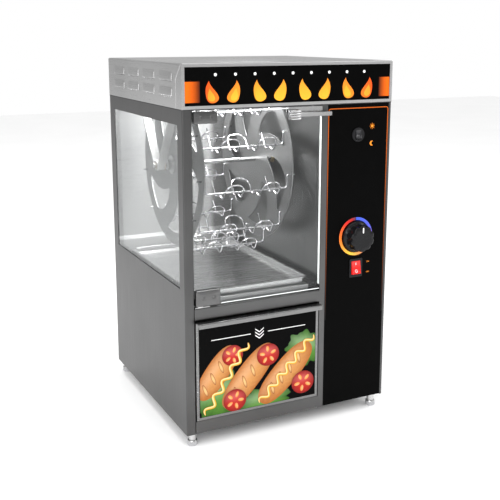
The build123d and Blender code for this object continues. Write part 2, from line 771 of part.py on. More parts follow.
def make_door_handle():
    """The ridged grip with its bar, the channel along the door's upper edge and the catch."""
    grip_length, grip_reach, grip_height = handle_block
    bar_thickness, bar_height = handle_bar
    grip_face = door_front - grip_reach
    grip_x = (handle_x, handle_x + grip_length)
    grip = span(grip_x, (grip_face, door_front), (handle_z - grip_height, handle_z))
    for groove in range(handle_grooves):
        z = handle_z - grip_height * (groove + 0.5) / handle_grooves
        grip -= Pos(sum(grip_x) / 2, grip_face, z) * Box(grip_length + 2, *groove_size)
    bar_top = handle_z - (grip_height - bar_height) / 2
    grip += span((grip_x[1], strip_left + handle_overhang), (grip_face, grip_face + bar_thickness),
                 (bar_top - bar_height, bar_top))
    solids["door_handle"] = grip

    channel_foot = door_top - channel_height
    channel = span((handle_x, door_right), (door_front - channel_wall, door_back + channel_wall),
                   (channel_foot, door_top + channel_wall))
    channel -= span((handle_x - 1, door_right + 1), (door_front, door_back), (channel_foot - 1, door_top))
    grip_room = span((handle_x - 1, grip_x[1] + slide_gap), (door_front - 2 * channel_wall, door_front),
                     (channel_foot - 1, handle_z + slide_gap))
    solids["door_top_channel"] = channel - grip_room
    catch_y, catch_top = door_back + catch_gap, seam - sheet
    solids["door_catch"] = span((strip_left - catch_size[0], strip_left), (catch_y, catch_y + catch_size[1]),
                                (catch_top - catch_size[2], catch_top))


def make_drawer():
    """The bun drawer: its front with a pull lip, the picture plate, the box and its runners."""
    x_limits = (left + post_width + drawer_gap, strip_left - drawer_gap)
    z0, z1 = drawer_floor_z + drawer_lift, cross_rail_z - drawer_gap
    lip = [(front - lip_reach, z1 - lip_height), (front - lip_reach, z1), (front, z1)]
    face = span(x_limits, (front, front + sheet), (z0, z1))
    solids["drawer_front"] = face + folded(lip, along_x(x_limits[0]), x_limits[1] - x_limits[0])
    solids["drawer_picture"] = span((x_limits[0] + picture_margin, x_limits[1] - picture_margin),
                                    (front - picture_thickness, front),
                                    (z0 + picture_margin, z1 - picture_top_margin))
    box_x = (x_limits[0] + drawer_side_room, x_limits[1] - drawer_side_room)
    box_y, box_z = (front + sheet, front + drawer_depth), z0 + box_lift
    tub = span(box_x, box_y, (box_z, box_z + drawer_wall))
    tub -= span((box_x[0] + sheet, box_x[1] - sheet), (box_y[0] + sheet, box_y[1] - sheet),
                (box_z + sheet, cross_rail_z))

    # Each runner is a channel on the cabinet's wall, and the drawer's slide bar rides inside it.
    rail_y = (hem_back + 2 * sheet, front + drawer_depth - runner_tail)
    rail_z = (z0 + runner_top - runner_height, z0 + runner_top)
    runners = []
    for wall_x, side_x, inward in ((left + sheet, box_x[0], 1), (strip_left, box_x[1], -1)):
        mouth = side_x - inward * slide_gap
        channel = span(sorted((wall_x, mouth)), rail_y, rail_z)
        channel -= span(sorted((wall_x + inward * sheet, mouth + inward)), (rail_y[0] - 1, rail_y[1] + 1),
                        (rail_z[0] + sheet, rail_z[1] - sheet))
        runners.append(channel)
        tub += span(sorted((side_x, side_x - inward * slide_bar)),
                    (front + slide_front, front + drawer_depth - slide_tail),
                    (rail_z[0] + sheet + slide_gap, rail_z[1] - sheet - slide_gap))
    solids["drawer_runners"] = Compound(children=runners)
    solids["drawer_box"] = tub


def make_tray():
    """The drip tray with its flat rim, standing on the chamber floor."""
    x_limits = (left + tray_left_gap, strip_left - tray_right_gap)
    y_limits = (front + tray_front_gap, rear_wall_y - tray_back_gap)
    foot = chamber_floor_top + slide_gap

    def rounded(inset, corner, z):
        x = (x_limits[0] + inset, x_limits[1] - inset)
        y = (y_limits[0] + inset, y_limits[1] - inset)
        return fillet(span(x, y, z).edges().filter_by(Axis.Z), corner)

    tray = rounded(tray_rim, tray_corner, (foot, tray_rim_z))
    tray += rounded(0, tray_corner + tray_rim, (tray_rim_z - sheet, tray_rim_z))
    basin = rounded(tray_rim + sheet, tray_corner - sheet, (foot + sheet, tray_rim_z + 1))
    solids["drip_tray"] = tray - basin


def leaf_window():
    """One curved window of a disc, about the axle's centre: an arc at the rim and two arms to its tip."""
    rim_radius = disc_radius - rim_band
    middle = (rim_radius + hub_radius) / 2

    def polar(radius, degrees):
        angle = math.radians(degrees)
        return (radius * math.cos(angle), radius * math.sin(angle))

    lead, trail, tip = polar(rim_radius, -14), polar(rim_radius, -49), polar(hub_radius, -70)
    edges = [ThreePointArc(lead, polar(rim_radius, -31), trail),
             ThreePointArc(trail, polar(middle, -67), tip), ThreePointArc(tip, polar(middle, -38), lead)]
    face = make_face(edges)
    return fillet(face.vertices(), window_corner)


def pin_place(number):
    """The place of a cradle's pins across the wheel, as y and z."""
    angle = math.radians(first_pin_angle + 360.0 * number / cradle_count)
    return (axle_y + pin_radius * math.cos(angle), axle_z + pin_radius * math.sin(angle))


def make_carousel():
    """The axle, the two discs and the hubs that fix them, each on its disc's outer face."""
    window = leaf_window()
    plate = Circle(disc_radius) - Circle(axle_diameter / 2)
    for number in range(window_count):
        plate -= Rot(0, 0, 360.0 * number / window_count) * window
    for number in range(cradle_count):
        y, z = pin_place(number)
        plate -= Pos(y - axle_y, z - axle_z) * Circle(wire_diameter / 2 + running_clearance)
    for name, x in (("left_disc", left_disc_x), ("right_disc", right_disc_x)):
        face = along_x(x - disc_thickness / 2, axle_y, axle_z)
        solids[name] = extrude(face * plate, amount=disc_thickness)

    bore, (flange, flange_width), (boss, boss_length) = axle_diameter / 2, hub_flange, hub_boss
    hub = turned([(bore, 0), (flange, 0), (flange, flange_width), (boss, flange_width),
                  (boss, boss_length), (bore, boss_length)])
    right_hub = along_x(right_disc_x + disc_thickness / 2, axle_y, axle_z) * hub
    outer_face = left_disc_x - disc_thickness / 2
    flip = Plane(origin=(outer_face, axle_y, axle_z), x_dir=(0, 1, 0), z_dir=(-1, 0, 0))
    solids["disc_hubs"] = Compound(children=[flip * hub, right_hub])
    axle = (strap_left - 2 * bush_flange[1], motor_face + motor_bore_depth - 2 * pivot_play)
    solids["carousel_axle"] = bar_x(axle, axle_y, axle_z, axle_diameter)


def make_gearmotor():
    """The gearmotor on a plate and three posts that stand on the partition."""
    gear_end = motor_face + gearbox[1]
    motor = bar_x((motor_face, gear_end), axle_y, axle_z, gearbox[0])
    motor += bar_x((motor_face - gearbox_boss[1], motor_face), axle_y, axle_z, gearbox_boss[0])
    motor += bar_x((gear_end, gear_end + motor_can[1]), axle_y, axle_z, motor_can[0])
    bore = axle_diameter + 2 * running_clearance
    reach = (motor_face - gearbox_boss[1] - 1, motor_face + motor_bore_depth)
    solids["gearmotor"] = motor - bar_x(reach, axle_y, axle_z, bore)

    plate = RegularPolygon(motor_post_circle + motor_plate_reach, 3, rotation=90)
    plate = fillet(plate.vertices(), motor_plate_reach / 2) - Circle(gearbox_boss[0] / 2)
    plate_x = motor_face - motor_plate
    parts = [extrude(along_x(plate_x, axle_y, axle_z) * plate, amount=motor_plate)]
    for angle in (math.radians(turn) for turn in (90, 210, 330)):
        y = axle_y + motor_post_circle * math.cos(angle)
        z = axle_z + motor_post_circle * math.sin(angle)
        parts.append(bar_x((partition_right, plate_x), y, z, motor_post_diameter))
    solids["motor_mount"] = Compound(children=parts)


def wire_cradle():
    """One cradle about its pin line: a trapeze of wire and a hooked wire that carries two sausages."""
    half_disc = disc_thickness / 2
    leg_left = left_disc_x + half_disc + leg_inset
    leg_right = right_disc_x - half_disc - leg_inset
    rod_z = -leg_drop
    stub = pin_bend + 0.6
    corners = [Vector(leg_left - stub, 0, 0), Vector(leg_left, 0, 0), Vector(leg_left, 0, rod_z),
               Vector(leg_right, 0, rod_z), Vector(leg_right, 0, 0), Vector(leg_right + stub, 0, 0)]
    chain = rounded_chain(corners, (pin_bend, leg_bend, leg_bend, pin_bend), (2, 2, 2, 2))
    cradle = wire(chain, wire_diameter, wire_sides)
    cradle += bar_x((left_disc_x - half_disc - pin_overhang, leg_left - pin_bend), 0, 0, wire_diameter)
    cradle += bar_x((leg_right + pin_bend, right_disc_x + half_disc + pin_overhang), 0, 0, wire_diameter)

    # The hooked wire crosses under the rod, to and fro, and rises to a loop at each side.
    middle = (leg_left + leg_right) / 2
    under = rod_z - (wire_diameter + hook_wire_diameter) / 2 + weld_depth
    loop = min(hook_loop_bend, (hook_offsets[1] - hook_offsets[0]) / 2 - 2)
    chain, radii, steps = [], [], []
    for number, offset in enumerate(hook_offsets):
        x, side = middle + offset, (-1) ** number
        high, low = rod_z + hook_high, rod_z - hook_low
        chain += [Vector(x, side * cradle_reach, high), Vector(x, side * hook_low_reach, low),
                  Vector(x, 0, under), Vector(x, -side * hook_low_reach, low),
                  Vector(x, -side * cradle_reach, high)]
        radii += [loop, hook_low_bend, hook_low_bend / 2, hook_low_bend, loop]
        steps += [2, 1, 1, 1, 2]
    hooks = wire(rounded_chain(chain, radii[1:-1], steps[1:-1]), hook_wire_diameter, wire_sides)
    return cradle + hooks


def make_cradles():
    """The cradles, all hanging from their pins."""
    cradle = wire_cradle()
    for number in range(cradle_count):
        y, z = pin_place(number)
        solids[f"cradle_{number + 1:02d}"] = Pos(0, y, z) * cradle


def make_terminal_block():
    """The terminal block on the base pan, under the gland."""
    length, block_depth, height = terminal_size
    y, foot = back - terminal_inset - block_depth / 2, base + sheet
    block = span(around(gland_x, length), around(y, block_depth), (foot, foot + height))
    pitch = length / terminal_ways
    for way in range(terminal_ways):
        x = gland_x - length / 2 + pitch * (way + 0.5)
        block -= span(around(x, terminal_slot[0]), around(y, 2 * block_depth),
                      (foot + height - terminal_slot[1], foot + height + 1))
    solids["terminal_block"] = block


make_side_panels()
make_side_window()
make_base_and_feet()
make_front_frame()
make_back_panel()
make_gland()
make_partition()
make_chamber()
make_bushes()
make_hanger()
make_heaters()
make_lamp()
make_hood()
make_sign()
make_control_panel()
make_switch_housings()
make_controls()
make_door()
make_door_handle()
make_drawer()
make_tray()
make_carousel()
make_gearmotor()
make_cradles()
make_terminal_block()

os.makedirs("parts", exist_ok=True)
for name, shape in solids.items():
    export_step(shape, f"parts/{name}.step")
print(len(solids), "nodes, pin radius", round(pin_radius, 2), "reach", round(cradle_reach, 2))
print("axle", round(axle_y, 2), round(axle_z, 2))
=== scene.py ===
"""The looks of a carousel hot dog grill: brushed steel, glass, chromed wire and printed black panels."""

import bmesh
import bpy
import numpy as np
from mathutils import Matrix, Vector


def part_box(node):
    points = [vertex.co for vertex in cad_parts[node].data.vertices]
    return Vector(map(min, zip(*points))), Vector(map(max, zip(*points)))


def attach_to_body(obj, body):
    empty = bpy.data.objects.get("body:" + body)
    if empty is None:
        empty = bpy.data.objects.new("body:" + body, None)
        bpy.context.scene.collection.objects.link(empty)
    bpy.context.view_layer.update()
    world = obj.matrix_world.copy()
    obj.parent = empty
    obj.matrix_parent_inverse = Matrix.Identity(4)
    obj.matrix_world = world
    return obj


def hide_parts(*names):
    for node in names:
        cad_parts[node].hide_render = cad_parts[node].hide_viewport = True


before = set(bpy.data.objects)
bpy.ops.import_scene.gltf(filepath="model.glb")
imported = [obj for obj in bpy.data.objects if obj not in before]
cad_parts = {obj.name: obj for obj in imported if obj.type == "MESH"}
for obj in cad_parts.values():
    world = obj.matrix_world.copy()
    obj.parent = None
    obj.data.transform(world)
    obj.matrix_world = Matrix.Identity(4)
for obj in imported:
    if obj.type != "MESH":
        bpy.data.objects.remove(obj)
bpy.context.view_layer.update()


# Camera: it stands left of the grill's front, a little above its top, and looks slightly down.
# Its lens is a short telephoto, and the frame is shifted a little, so that upright edges stay near upright.
camera_data = bpy.data.cameras.new("camera")
camera_data.lens = 59.881
camera_data.sensor_width = 36.0
camera_data.shift_y = -0.085
camera = bpy.data.objects.new("camera", camera_data)
camera.location = (-0.6555, -1.3648, 0.6697)
camera.rotation_euler = np.radians((78.338, 0.0, -26.082))
bpy.context.scene.collection.objects.link(camera)
bpy.context.scene.camera = camera


# Body panels: 1.2 mm stainless sheet, folded and spot welded, brushed along each panel's longer side.
# The brushing shows as fine streaks that change the gloss and the tone a little.
def new_material(name):
    """An empty node material: one function that adds nodes, and one that ends it with a given shader."""
    material = bpy.data.materials.new(name)
    material.use_nodes = True
    tree = material.node_tree
    tree.nodes.clear()
    output = tree.nodes.new("ShaderNodeOutputMaterial")

    def add(kind, links=(), **values):
        node = tree.nodes.new(kind)
        for key, value in values.items():
            if key in node.inputs:
                node.inputs[key].default_value = value
            else:
                setattr(node, key, value)
        for socket, source in links:
            tree.links.new(source, node.inputs[socket])
        return node

    def finish(shader):
        tree.links.new(shader.outputs[0], output.inputs["Surface"])
        return material

    return add, finish


def colour_steps(add, factor, steps):
    """A colour ramp over a factor, from pairs of position and colour."""
    ramp = add("ShaderNodeValToRGB", [("Fac", factor)])
    elements = ramp.color_ramp.elements
    while len(elements) < len(steps):
        elements.new(0.5)
    for element, (position, colour) in zip(elements, steps):
        element.position = position
        element.color = (*colour, 1.0)
    return ramp.outputs["Color"]


def object_noise(add, scale, detail=2.0, roughness=0.5):
    """Noise on the object's own coordinates."""
    place = add("ShaderNodeTexCoord")
    noise = add("ShaderNodeTexNoise", [("Vector", place.outputs["Object"])], Scale=scale, Detail=detail,
                Roughness=roughness)
    return noise.outputs["Fac"]


def mapped(add, value, low, high, start=0.0, end=1.0, curve="LINEAR"):
    """A value that runs from start to end, carried over to run from low to high."""
    ends = {"From Min": start, "From Max": end, "To Min": low, "To Max": high}
    return add("ShaderNodeMapRange", [("Value", value)], interpolation_type=curve, **ends).outputs[0]


def brushed_metal(name, tone, roughness, grain, streak=0.10, cloud=0.10, tint=(1.0, 1.0, 1.0), stretch=14.0,
                  metallic=1.0, painted_shades=()):
    """Metal with fine streaks along one axis and slow clouds of tone.

    Each painted shade is an axis, where the darkening starts, where it is full, and the tone left there.
    """
    add, finish = new_material(name)
    place = add("ShaderNodeTexCoord").outputs["Object"]
    scale = [1500.0, 1500.0, 1500.0]
    scale["xyz".index(grain)] = stretch
    lines = add("ShaderNodeMapping", [("Vector", place)], Scale=scale)
    streaks = add("ShaderNodeTexNoise", [("Vector", lines.outputs[0])], Scale=1.0, Detail=3.0, Roughness=0.6)
    streaks = streaks.outputs["Fac"]
    reach = streak + cloud
    weighted = add("ShaderNodeMath", [(0, streaks)], operation="MULTIPLY")
    weighted.inputs[1].default_value = streak / reach
    mixed = add("ShaderNodeMath", [(0, object_noise(add, 7.0)), (2, weighted.outputs[0])],
                operation="MULTIPLY_ADD")
    mixed.inputs[1].default_value = cloud / reach
    dark = [tone * (1 - reach) * t for t in tint]
    light = [min(1.0, tone * (1 + reach)) * t for t in tint]
    colour = colour_steps(add, mixed.outputs[0], [(0.3, dark), (0.7, light)])
    shade_axes = add("ShaderNodeSeparateXYZ", [("Vector", place)])
    # Painted shade: the colour darkens smoothly along each given axis, standing in for shade.
    for axis, lit_end, shaded_end, share in painted_shades:
        shade_factor = mapped(add, shade_axes.outputs[axis.upper()], 1.0, share, lit_end, shaded_end, "SMOOTHSTEP")
        colour = add("ShaderNodeVectorMath", [(0, colour), ("Scale", shade_factor)], operation="SCALE").outputs[0]
    gloss = mapped(add, streaks, roughness * 0.82, roughness * 1.18, 0.25, 0.75)
    bump = add("ShaderNodeBump", [("Height", streaks)], Strength=0.12, Distance=0.0001)
    links = [("Base Color", colour), ("Roughness", gloss), ("Normal", bump.outputs[0])]
    return finish(add("ShaderNodeBsdfPrincipled", links, Metallic=metallic))


def dress(material, *names):
    """Give CAD nodes a material in place of their plain one."""
    for name in names:
        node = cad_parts[name]
        node.data.materials.clear()
        node.data.materials.append(material)


# Painted shade: the side, back, front frame and base panels are set far darker than the same steel on the
# hood, so that they look shaded.
shaded_upright_steel = brushed_metal("shaded_upright_brushed_steel", 0.092, 0.36, "z", streak=0.06, cloud=0.12)
shaded_cross_steel = brushed_metal("shaded_cross_brushed_steel", 0.105, 0.32, "x", streak=0.06, cloud=0.10)
dress(shaded_upright_steel, "left_side_panel", "right_side_panel", "back_panel")
dress(shaded_cross_steel, "front_frame", "base_pan")


# Seam strip: a thin black strip under the hood's edge, between the hood and the body, standing for the shade
# in the seam.
# It shows as a dark line around the machine: a painted shadow line.
def grid_faces(rows, columns, closed, keep=None):
    """The faces of a grid of points, whose rows and columns join where they close; keep drops cells."""
    row_steps = np.arange(rows if closed[0] else rows - 1)
    column_steps = np.arange(columns if closed[1] else columns - 1)
    i, j = (steps.ravel() for steps in np.meshgrid(row_steps, column_steps, indexing="ij"))
    if keep is not None:
        kept = keep[i, j]
        i, j = i[kept], j[kept]
    after_i, after_j = (i + 1) % rows, (j + 1) % columns
    corners = (i * columns + j, after_i * columns + j, after_i * columns + after_j, i * columns + after_j)
    return np.stack(corners, 1).tolist()


def attach(name, mesh, material, body):
    """An object with a mesh and one material, riding a body."""
    mesh.materials.append(material)
    piece = bpy.data.objects.new(name, mesh)
    bpy.context.scene.collection.objects.link(piece)
    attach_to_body(piece, body)
    return piece


def surface(name, points, material, body, closed=(False, True), keep=None, sharp=35.0, outward=True):
    """A smooth mesh over a grid of points, welded, with edges kept where it turns sharply."""
    mesh = bpy.data.meshes.new(name)
    mesh.from_pydata(points.reshape(-1, 3).tolist(), [], grid_faces(*points.shape[:2], closed, keep))
    work = bmesh.new()
    work.from_mesh(mesh)
    bmesh.ops.remove_doubles(work, verts=work.verts, dist=1e-6)
    bmesh.ops.dissolve_degenerate(work, edges=work.edges, dist=1e-7)
    if outward:
        bmesh.ops.recalc_face_normals(work, faces=work.faces)
    work.to_mesh(mesh)
    work.free()
    mesh.shade_smooth()
    mesh.set_sharp_from_angle(angle=np.radians(sharp))
    return attach(name, mesh, material, body)


def rounded_outline(half_width, half_height, corner, count=7):
    """A rectangle with quarter-circle corners, and the outward direction at each of its points."""
    quarter = np.repeat(np.arange(4), count)
    angle = quarter * np.pi / 2 + np.tile(np.linspace(0, np.pi / 2, count), 4)
    away = np.stack([np.cos(angle), np.sin(angle)], 1)
    centre = np.stack([np.array([1, -1, -1, 1])[quarter] * (half_width - corner),
                       np.array([1, 1, -1, -1])[quarter] * (half_height - corner)], 1)
    return centre + corner * away, away


def facing(origin, towards):
    """A function that lays (across, up, out) on a face: front, left, right, back or top."""
    axes = {"front": ((1, 0, 0), (0, 0, 1), (0, -1, 0)), "back": ((-1, 0, 0), (0, 0, 1), (0, 1, 0)),
            "left": ((0, -1, 0), (0, 0, 1), (-1, 0, 0)), "right": ((0, 1, 0), (0, 0, 1), (1, 0, 0)),
            "top": ((1, 0, 0), (0, 1, 0), (0, 0, 1))}[towards]
    return lambda local: np.asarray(origin) + local @ np.array(axes, float)


def at_height(ring, height):
    """A flat ring of points, laid at a height."""
    return np.column_stack([ring, np.full(len(ring), height)])


def stepped_form(name, outline, steps, place, material, body, sharp=35.0):
    """An outline carried through steps of (inset, height), and closed to its middle at both ends."""
    line, away = outline
    rings = [0 * line, *(line - inset * away for inset, _ in steps), 0 * line]
    heights = [steps[0][1], *(height for _, height in steps), steps[-1][1]]
    points = np.array([at_height(ring, height) for ring, height in zip(rings, heights)])
    return surface(name, place(points), material, body, sharp=sharp)


def plain_paint(name, colour, roughness, mottle=0.08, size=60.0, bump=0.05, **sockets):
    """A moulded or coated surface: one colour with a slight mottle, and a fine skin texture."""
    add, finish = new_material(name)
    noise = object_noise(add, size, 4.0)
    shade = colour_steps(add, noise, [(0.3, [c * (1 - mottle) for c in colour]),
                                      (0.7, [min(1.0, c * (1 + mottle)) for c in colour])])
    gloss = mapped(add, noise, roughness * 0.85, roughness * 1.15)
    relief = add("ShaderNodeBump", [("Height", object_noise(add, size * 30))], Strength=bump, Distance=0.0002)
    links = [("Base Color", shade), ("Roughness", gloss), ("Normal", relief.outputs[0])]
    return finish(add("ShaderNodeBsdfPrincipled", links, **sockets))


left, right, front, back = -0.1925, 0.1925, -0.184, 0.192
seam, hood_top = 0.559, 0.629
# Painted shadow: a black strip stands for the shade in the seam under the hood.
seam_shadow_black = plain_paint("seam_shadow_black", (0.018, 0.018, 0.019), 0.7)
proud, thickness, depth = 0.0002, 0.0012, 0.0014
strip_line, strip_away = rounded_outline((right - left) / 2 + proud, (back - front) / 2 + proud, 0.002)
strip_section = ((depth, -thickness / 2), (0.0, -thickness / 2), (0.0, thickness / 2), (depth, thickness / 2))
strip_rows = np.array([at_height(strip_line - inset * strip_away, height) for inset, height in strip_section])
strip_place = facing((0, (front + back) / 2, seam), "top")
surface("seam_shadow_strip", strip_place(strip_rows), seam_shadow_black, "cabinet", closed=(True, True))


# Levelling feet: a turned steel stud with a pressed collar, standing on a moulded sole of pale rubber.
# Each is screwed up into the corner of the base pan.
def turned(name, profile, place, material, body, count=48, sharp=35.0):
    """A profile of (radius, height) turned about its axis."""
    angle = np.linspace(0, 2 * np.pi, count, endpoint=False)
    radius, height = np.array(profile, float).T
    points = np.stack([radius[:, None] * np.cos(angle), radius[:, None] * np.sin(angle),
                       np.repeat(height[:, None], count, 1)], 2)
    return surface(name, place(points), material, body, sharp=sharp)


stud_steel = brushed_metal("stud_steel", 0.55, 0.28, "z", stretch=300.0)
grey_rubber = plain_paint("grey_rubber", (0.40, 0.40, 0.41), 0.6)
thread, collar = 0.0062, 0.0085
foot_profile = [(0, 0.007), (collar, 0.007), (collar, 0.0085), (0.0078, 0.0095), (thread, 0.010),
                (thread, 0.0195), (collar, 0.020), (collar, 0.0235), (0.0080, 0.024), (0, 0.024)]
sole_profile = [(0, 0), (0.0078, 0), (collar, 0.0008), (collar, 0.006), (0.0078, 0.0068), (0, 0.0072)]
feet_places = [(x, y) for x in (left + 0.015, right - 0.015) for y in (front + 0.015, back - 0.010)]
for number, (x, y) in enumerate(feet_places, 1):
    place = facing((x, y, 0), "top")
    stud = turned(f"foot_stud_{number}", foot_profile, place, stud_steel, "cabinet")
    sole = turned(f"foot_sole_{number}", sole_profile, place, grey_rubber, "cabinet")
    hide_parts("feet")


# Side window: a fixed pane of 4 mm float glass behind the opening, held by folded spring clips.
# Glass lets nearly all light through and mirrors the pale studio faintly.
def window_glass(name, tint, mirror):
    """A clear pane: mostly see-through, with a faint mirror that grows steeply towards grazing angles."""
    add, finish = new_material(name)
    haze = mapped(add, object_noise(add, 14.0, 5.0, 0.6), 0.02, 0.12)
    clear = add("ShaderNodeBsdfTransparent", Color=(*tint, 1.0))
    gloss = add("ShaderNodeBsdfGlossy", [("Roughness", haze)], Color=(0.95, 0.97, 0.97, 1.0))
    edge = add("ShaderNodeLayerWeight", Blend=0.5)
    growth = add("ShaderNodeMath", [(0, edge.outputs["Facing"])], operation="POWER")
    growth.inputs[1].default_value = 5.0
    share = mapped(add, growth.outputs[0], mirror, 1.0)
    return finish(add("ShaderNodeMixShader", [(0, share), (1, clear.outputs[0]), (2, gloss.outputs[0])]))


side_glass = window_glass("side_glass", (0.84, 0.845, 0.845), 0.04)
clip_steel = brushed_metal("clip_steel", 0.5, 0.3, "z")
dress(side_glass, "side_window_glass")
dress(clip_steel, "window_clips")


# Chamber: partition, floor, rear wall and ceiling are thin stainless sheets, duller than the outside;
# they are folded and spot welded inside the body. Painted shade darkens the rear wall towards its
# right end, the partition at its foot and the floor in the gaps beside and behind the tray.
# Painted shade: the rear wall darkens towards its right end, behind the right disc.
wall_steel = brushed_metal("chamber_wall_steel", 0.40, 0.30, "x", cloud=0.05, streak=0.03, metallic=0.35,
                           painted_shades=[("x", 0.006, 0.022, 0.28)])
# Painted shadow: the partition darkens towards its foot, where it meets the floor.
partition_steel = brushed_metal("partition_steel", 0.19, 0.32, "z", cloud=0.14, streak=0.05,
                                painted_shades=[("z", 0.272, 0.262, 0.25)])
# Painted shade: the floor is nearly black in the gap between the tray and the partition, and behind the tray.
floor_steel = brushed_metal("chamber_floor_steel", 0.36, 0.35, "x", cloud=0.10, streak=0.05,
                            painted_shades=[("x", 0.040, 0.043, 0.06), ("y", 0.158, 0.161, 0.06)])
ceiling_steel = brushed_metal("chamber_ceiling_steel", 0.95, 0.42, "x", cloud=0.1, metallic=0.6)
dress(wall_steel, "chamber_rear_wall")
dress(partition_steel, "partition_wall")
dress(floor_steel, "chamber_floor")
dress(ceiling_steel, "chamber_ceiling")


# Hanger: a V of flat stainless strap under the ceiling, with a flanged bronze bush at its foot.
# A like bush sits in the partition and carries the axle's other end.
strap_steel = brushed_metal("strap_steel", 0.46, 0.34, "z")
bronze = brushed_metal("bush_bronze", 0.6, 0.3, "x", tint=(1.0, 0.78, 0.45), stretch=200.0)
dress(strap_steel, "axle_hanger")
dress(bronze, "axle_bushes")


# Heating elements: two hairpins of 7 mm tubular heater, sheathed in heat-resisting steel that has
# gone dark straw and blue, hung in thin hoops under the ceiling.
def rounded_path(corners, radii, count=8):
    """A chain of corners, each but the ends rounded by an arc of its own radius."""
    points = [corners[0]]
    for before, corner, after, radius in zip(corners, corners[1:], corners[2:], radii):
        inward = (corner - before) / np.linalg.norm(corner - before)
        outward = (after - corner) / np.linalg.norm(after - corner)
        turn = np.arccos(np.clip(inward @ outward, -1, 1))
        start = corner - inward * radius * np.tan(turn / 2)
        side = outward - inward * np.cos(turn)
        side = side / np.linalg.norm(side)
        angle = np.linspace(0, turn, count)[:, None]
        points.extend(start + inward * radius * np.sin(angle) + side * radius * (1 - np.cos(angle)))
    return np.array([*points, corners[-1]])


def tube_points(path, radius, up, sides=12):
    """A round section carried along a path; its first side direction is square to up and to the run."""
    run = np.gradient(path, axis=0)
    run = run / np.linalg.norm(run, axis=1, keepdims=True)
    side = np.cross(run, up)
    side = side / np.linalg.norm(side, axis=1, keepdims=True)
    other = np.cross(side, run)
    angle = np.linspace(0, 2 * np.pi, sides, endpoint=False)
    ring = np.cos(angle)[None, :, None] * side[:, None] + np.sin(angle)[None, :, None] * other[:, None]
    body = path[:, None] + radius * ring
    ends = [np.repeat(path[:1, None], sides, 1), np.repeat(path[-1:, None], sides, 1)]
    return np.concatenate([ends[0], body, ends[1]])


def mottled(name, scale, steps, detail=2.0, glow=0.0, dull=None, **sockets):
    """A surface whose colour drifts through steps; it may glow in that colour, or be dulled in patches."""
    add, finish = new_material(name)
    noise = object_noise(add, scale, detail)
    shade = colour_steps(add, noise, steps)
    links = [("Base Color", shade)]
    if glow:
        links.append(("Emission Color", shade))
        sockets["Emission Strength"] = glow
    if dull:
        links.append(("Roughness", mapped(add, noise, *dull)))
    return finish(add("ShaderNodeBsdfPrincipled", links, **sockets))


sheath = mottled("element_sheath", 18.0, [(0.3, (0.09, 0.08, 0.075)), (0.5, (0.17, 0.14, 0.12)),
                                          (0.7, (0.13, 0.13, 0.15))], 4.0, Metallic=0.9, Roughness=0.42)
hairpin_gap, hairpin_z, hairpin_bend = 0.018, 0.598, 0.0089
bends_x, ends_x = -0.1605, 0.0817
for name, y in (("front_element", -0.138), ("rear_element", 0.126)):
    far = y + hairpin_gap
    plan = ((ends_x, y), (bends_x, y), (bends_x, far), (ends_x, far))
    corners = [np.array((*point, hairpin_z)) for point in plan]
    path = rounded_path(corners, (hairpin_bend, hairpin_bend), 12)
    element = surface(name, tube_points(path, 0.0035, (0, 0, 1), 16), sheath, "cabinet")
    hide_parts("heating_elements")
dress(strap_steel, "element_clips")


# Lamp: a frosted glass tube between two ceramic holders behind the sign, which lights the chamber.
# The light on the ceiling comes from it.
ceramic = plain_paint("lamp_ceramic", (0.78, 0.76, 0.72), 0.5)
lamp_glass = mottled("lamp_glass_lit", 30.0, [(0.3, (0.94, 0.9118, 0.8648)), (0.7, (1.0, 0.97, 0.92))],
                     glow=9.0, Roughness=0.3)
dress(lamp_glass, "lamp_tube")
dress(ceramic, "lamp_holders")


# Wheel: two discs laser-cut from 1.5 mm stainless sheet, each with six curved windows, on turned hubs
# that a bright 8 mm axle carries.
disc_steel = brushed_metal("disc_steel", 0.24, 0.4, "y", cloud=0.10, streak=0.04)
axle_steel = brushed_metal("axle_steel", 0.42, 0.16, "x", streak=0.05)
dress(disc_steel, "left_disc", "right_disc")
dress(axle_steel, "carousel_axle", "disc_hubs")


# Cradles: eleven carriers of chromed steel wire. Each is a trapeze of 3 mm wire that hangs from its
# pins, with a 2.4 mm wire bent to and fro under its rod, so that its loops hold two sausages.
wire_chrome = mottled("wire_chrome", 90.0, [(0.35, (0.27, 0.27, 0.28)), (0.6, (0.52, 0.52, 0.53))], 4.0,
                      dull=(0.22, 0.10), Metallic=1.0)
leg_left, leg_right, rod_drop = -0.13725, 0.01475, 0.022
trapeze = [np.array(p) for p in ((-0.15175, 0, 0), (leg_left, 0, 0), (leg_left, 0, -rod_drop),
                                 (leg_right, 0, -rod_drop), (leg_right, 0, 0), (0.02925, 0, 0))]
trapeze_path = rounded_path(trapeze, (0.0024, 0.005, 0.005, 0.0024))
loop_reach, loop_foot, loop_bend = 0.03076, 0.014, 0.014
high, low, under = 0.017 - rod_drop, -rod_drop - 0.008, -rod_drop - 0.002
chain = []
for number, offset in enumerate((-0.050, -0.017, 0.017, 0.050)):
    x, side = (leg_left + leg_right) / 2 + offset, (-1) ** number
    chain += [(x, side * loop_reach, high), (x, side * loop_foot, low), (x, 0, under),
              (x, -side * loop_foot, low), (x, -side * loop_reach, high)]
hook_radii = (4 * [loop_bend, 0.007, 0.0035, 0.007, loop_bend])[1:-1]
hook_path = rounded_path([np.array(p) for p in chain], hook_radii, 9)
trapeze_tube = tube_points(trapeze_path, 0.0015, (0, 1, 0), 12)
hook_tube = tube_points(hook_path, 0.0012, (0, 0, 1), 10)
cradle_count, first_angle = 11, 21.0
axle_y, axle_z, pin_radius = -0.0070, 0.44876, 0.13224
for number in range(cradle_count):
    angle = np.radians(first_angle + 360.0 * number / cradle_count)
    place = np.array([0, axle_y + pin_radius * np.cos(angle), axle_z + pin_radius * np.sin(angle)])
    name = f"cradle_{number + 1:02d}"
    trapeze_piece = surface(f"{name}_trapeze", trapeze_tube + place, wire_chrome, name)
    hook_piece = surface(f"{name}_hooks", hook_tube + place, wire_chrome, name)
    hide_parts(name)


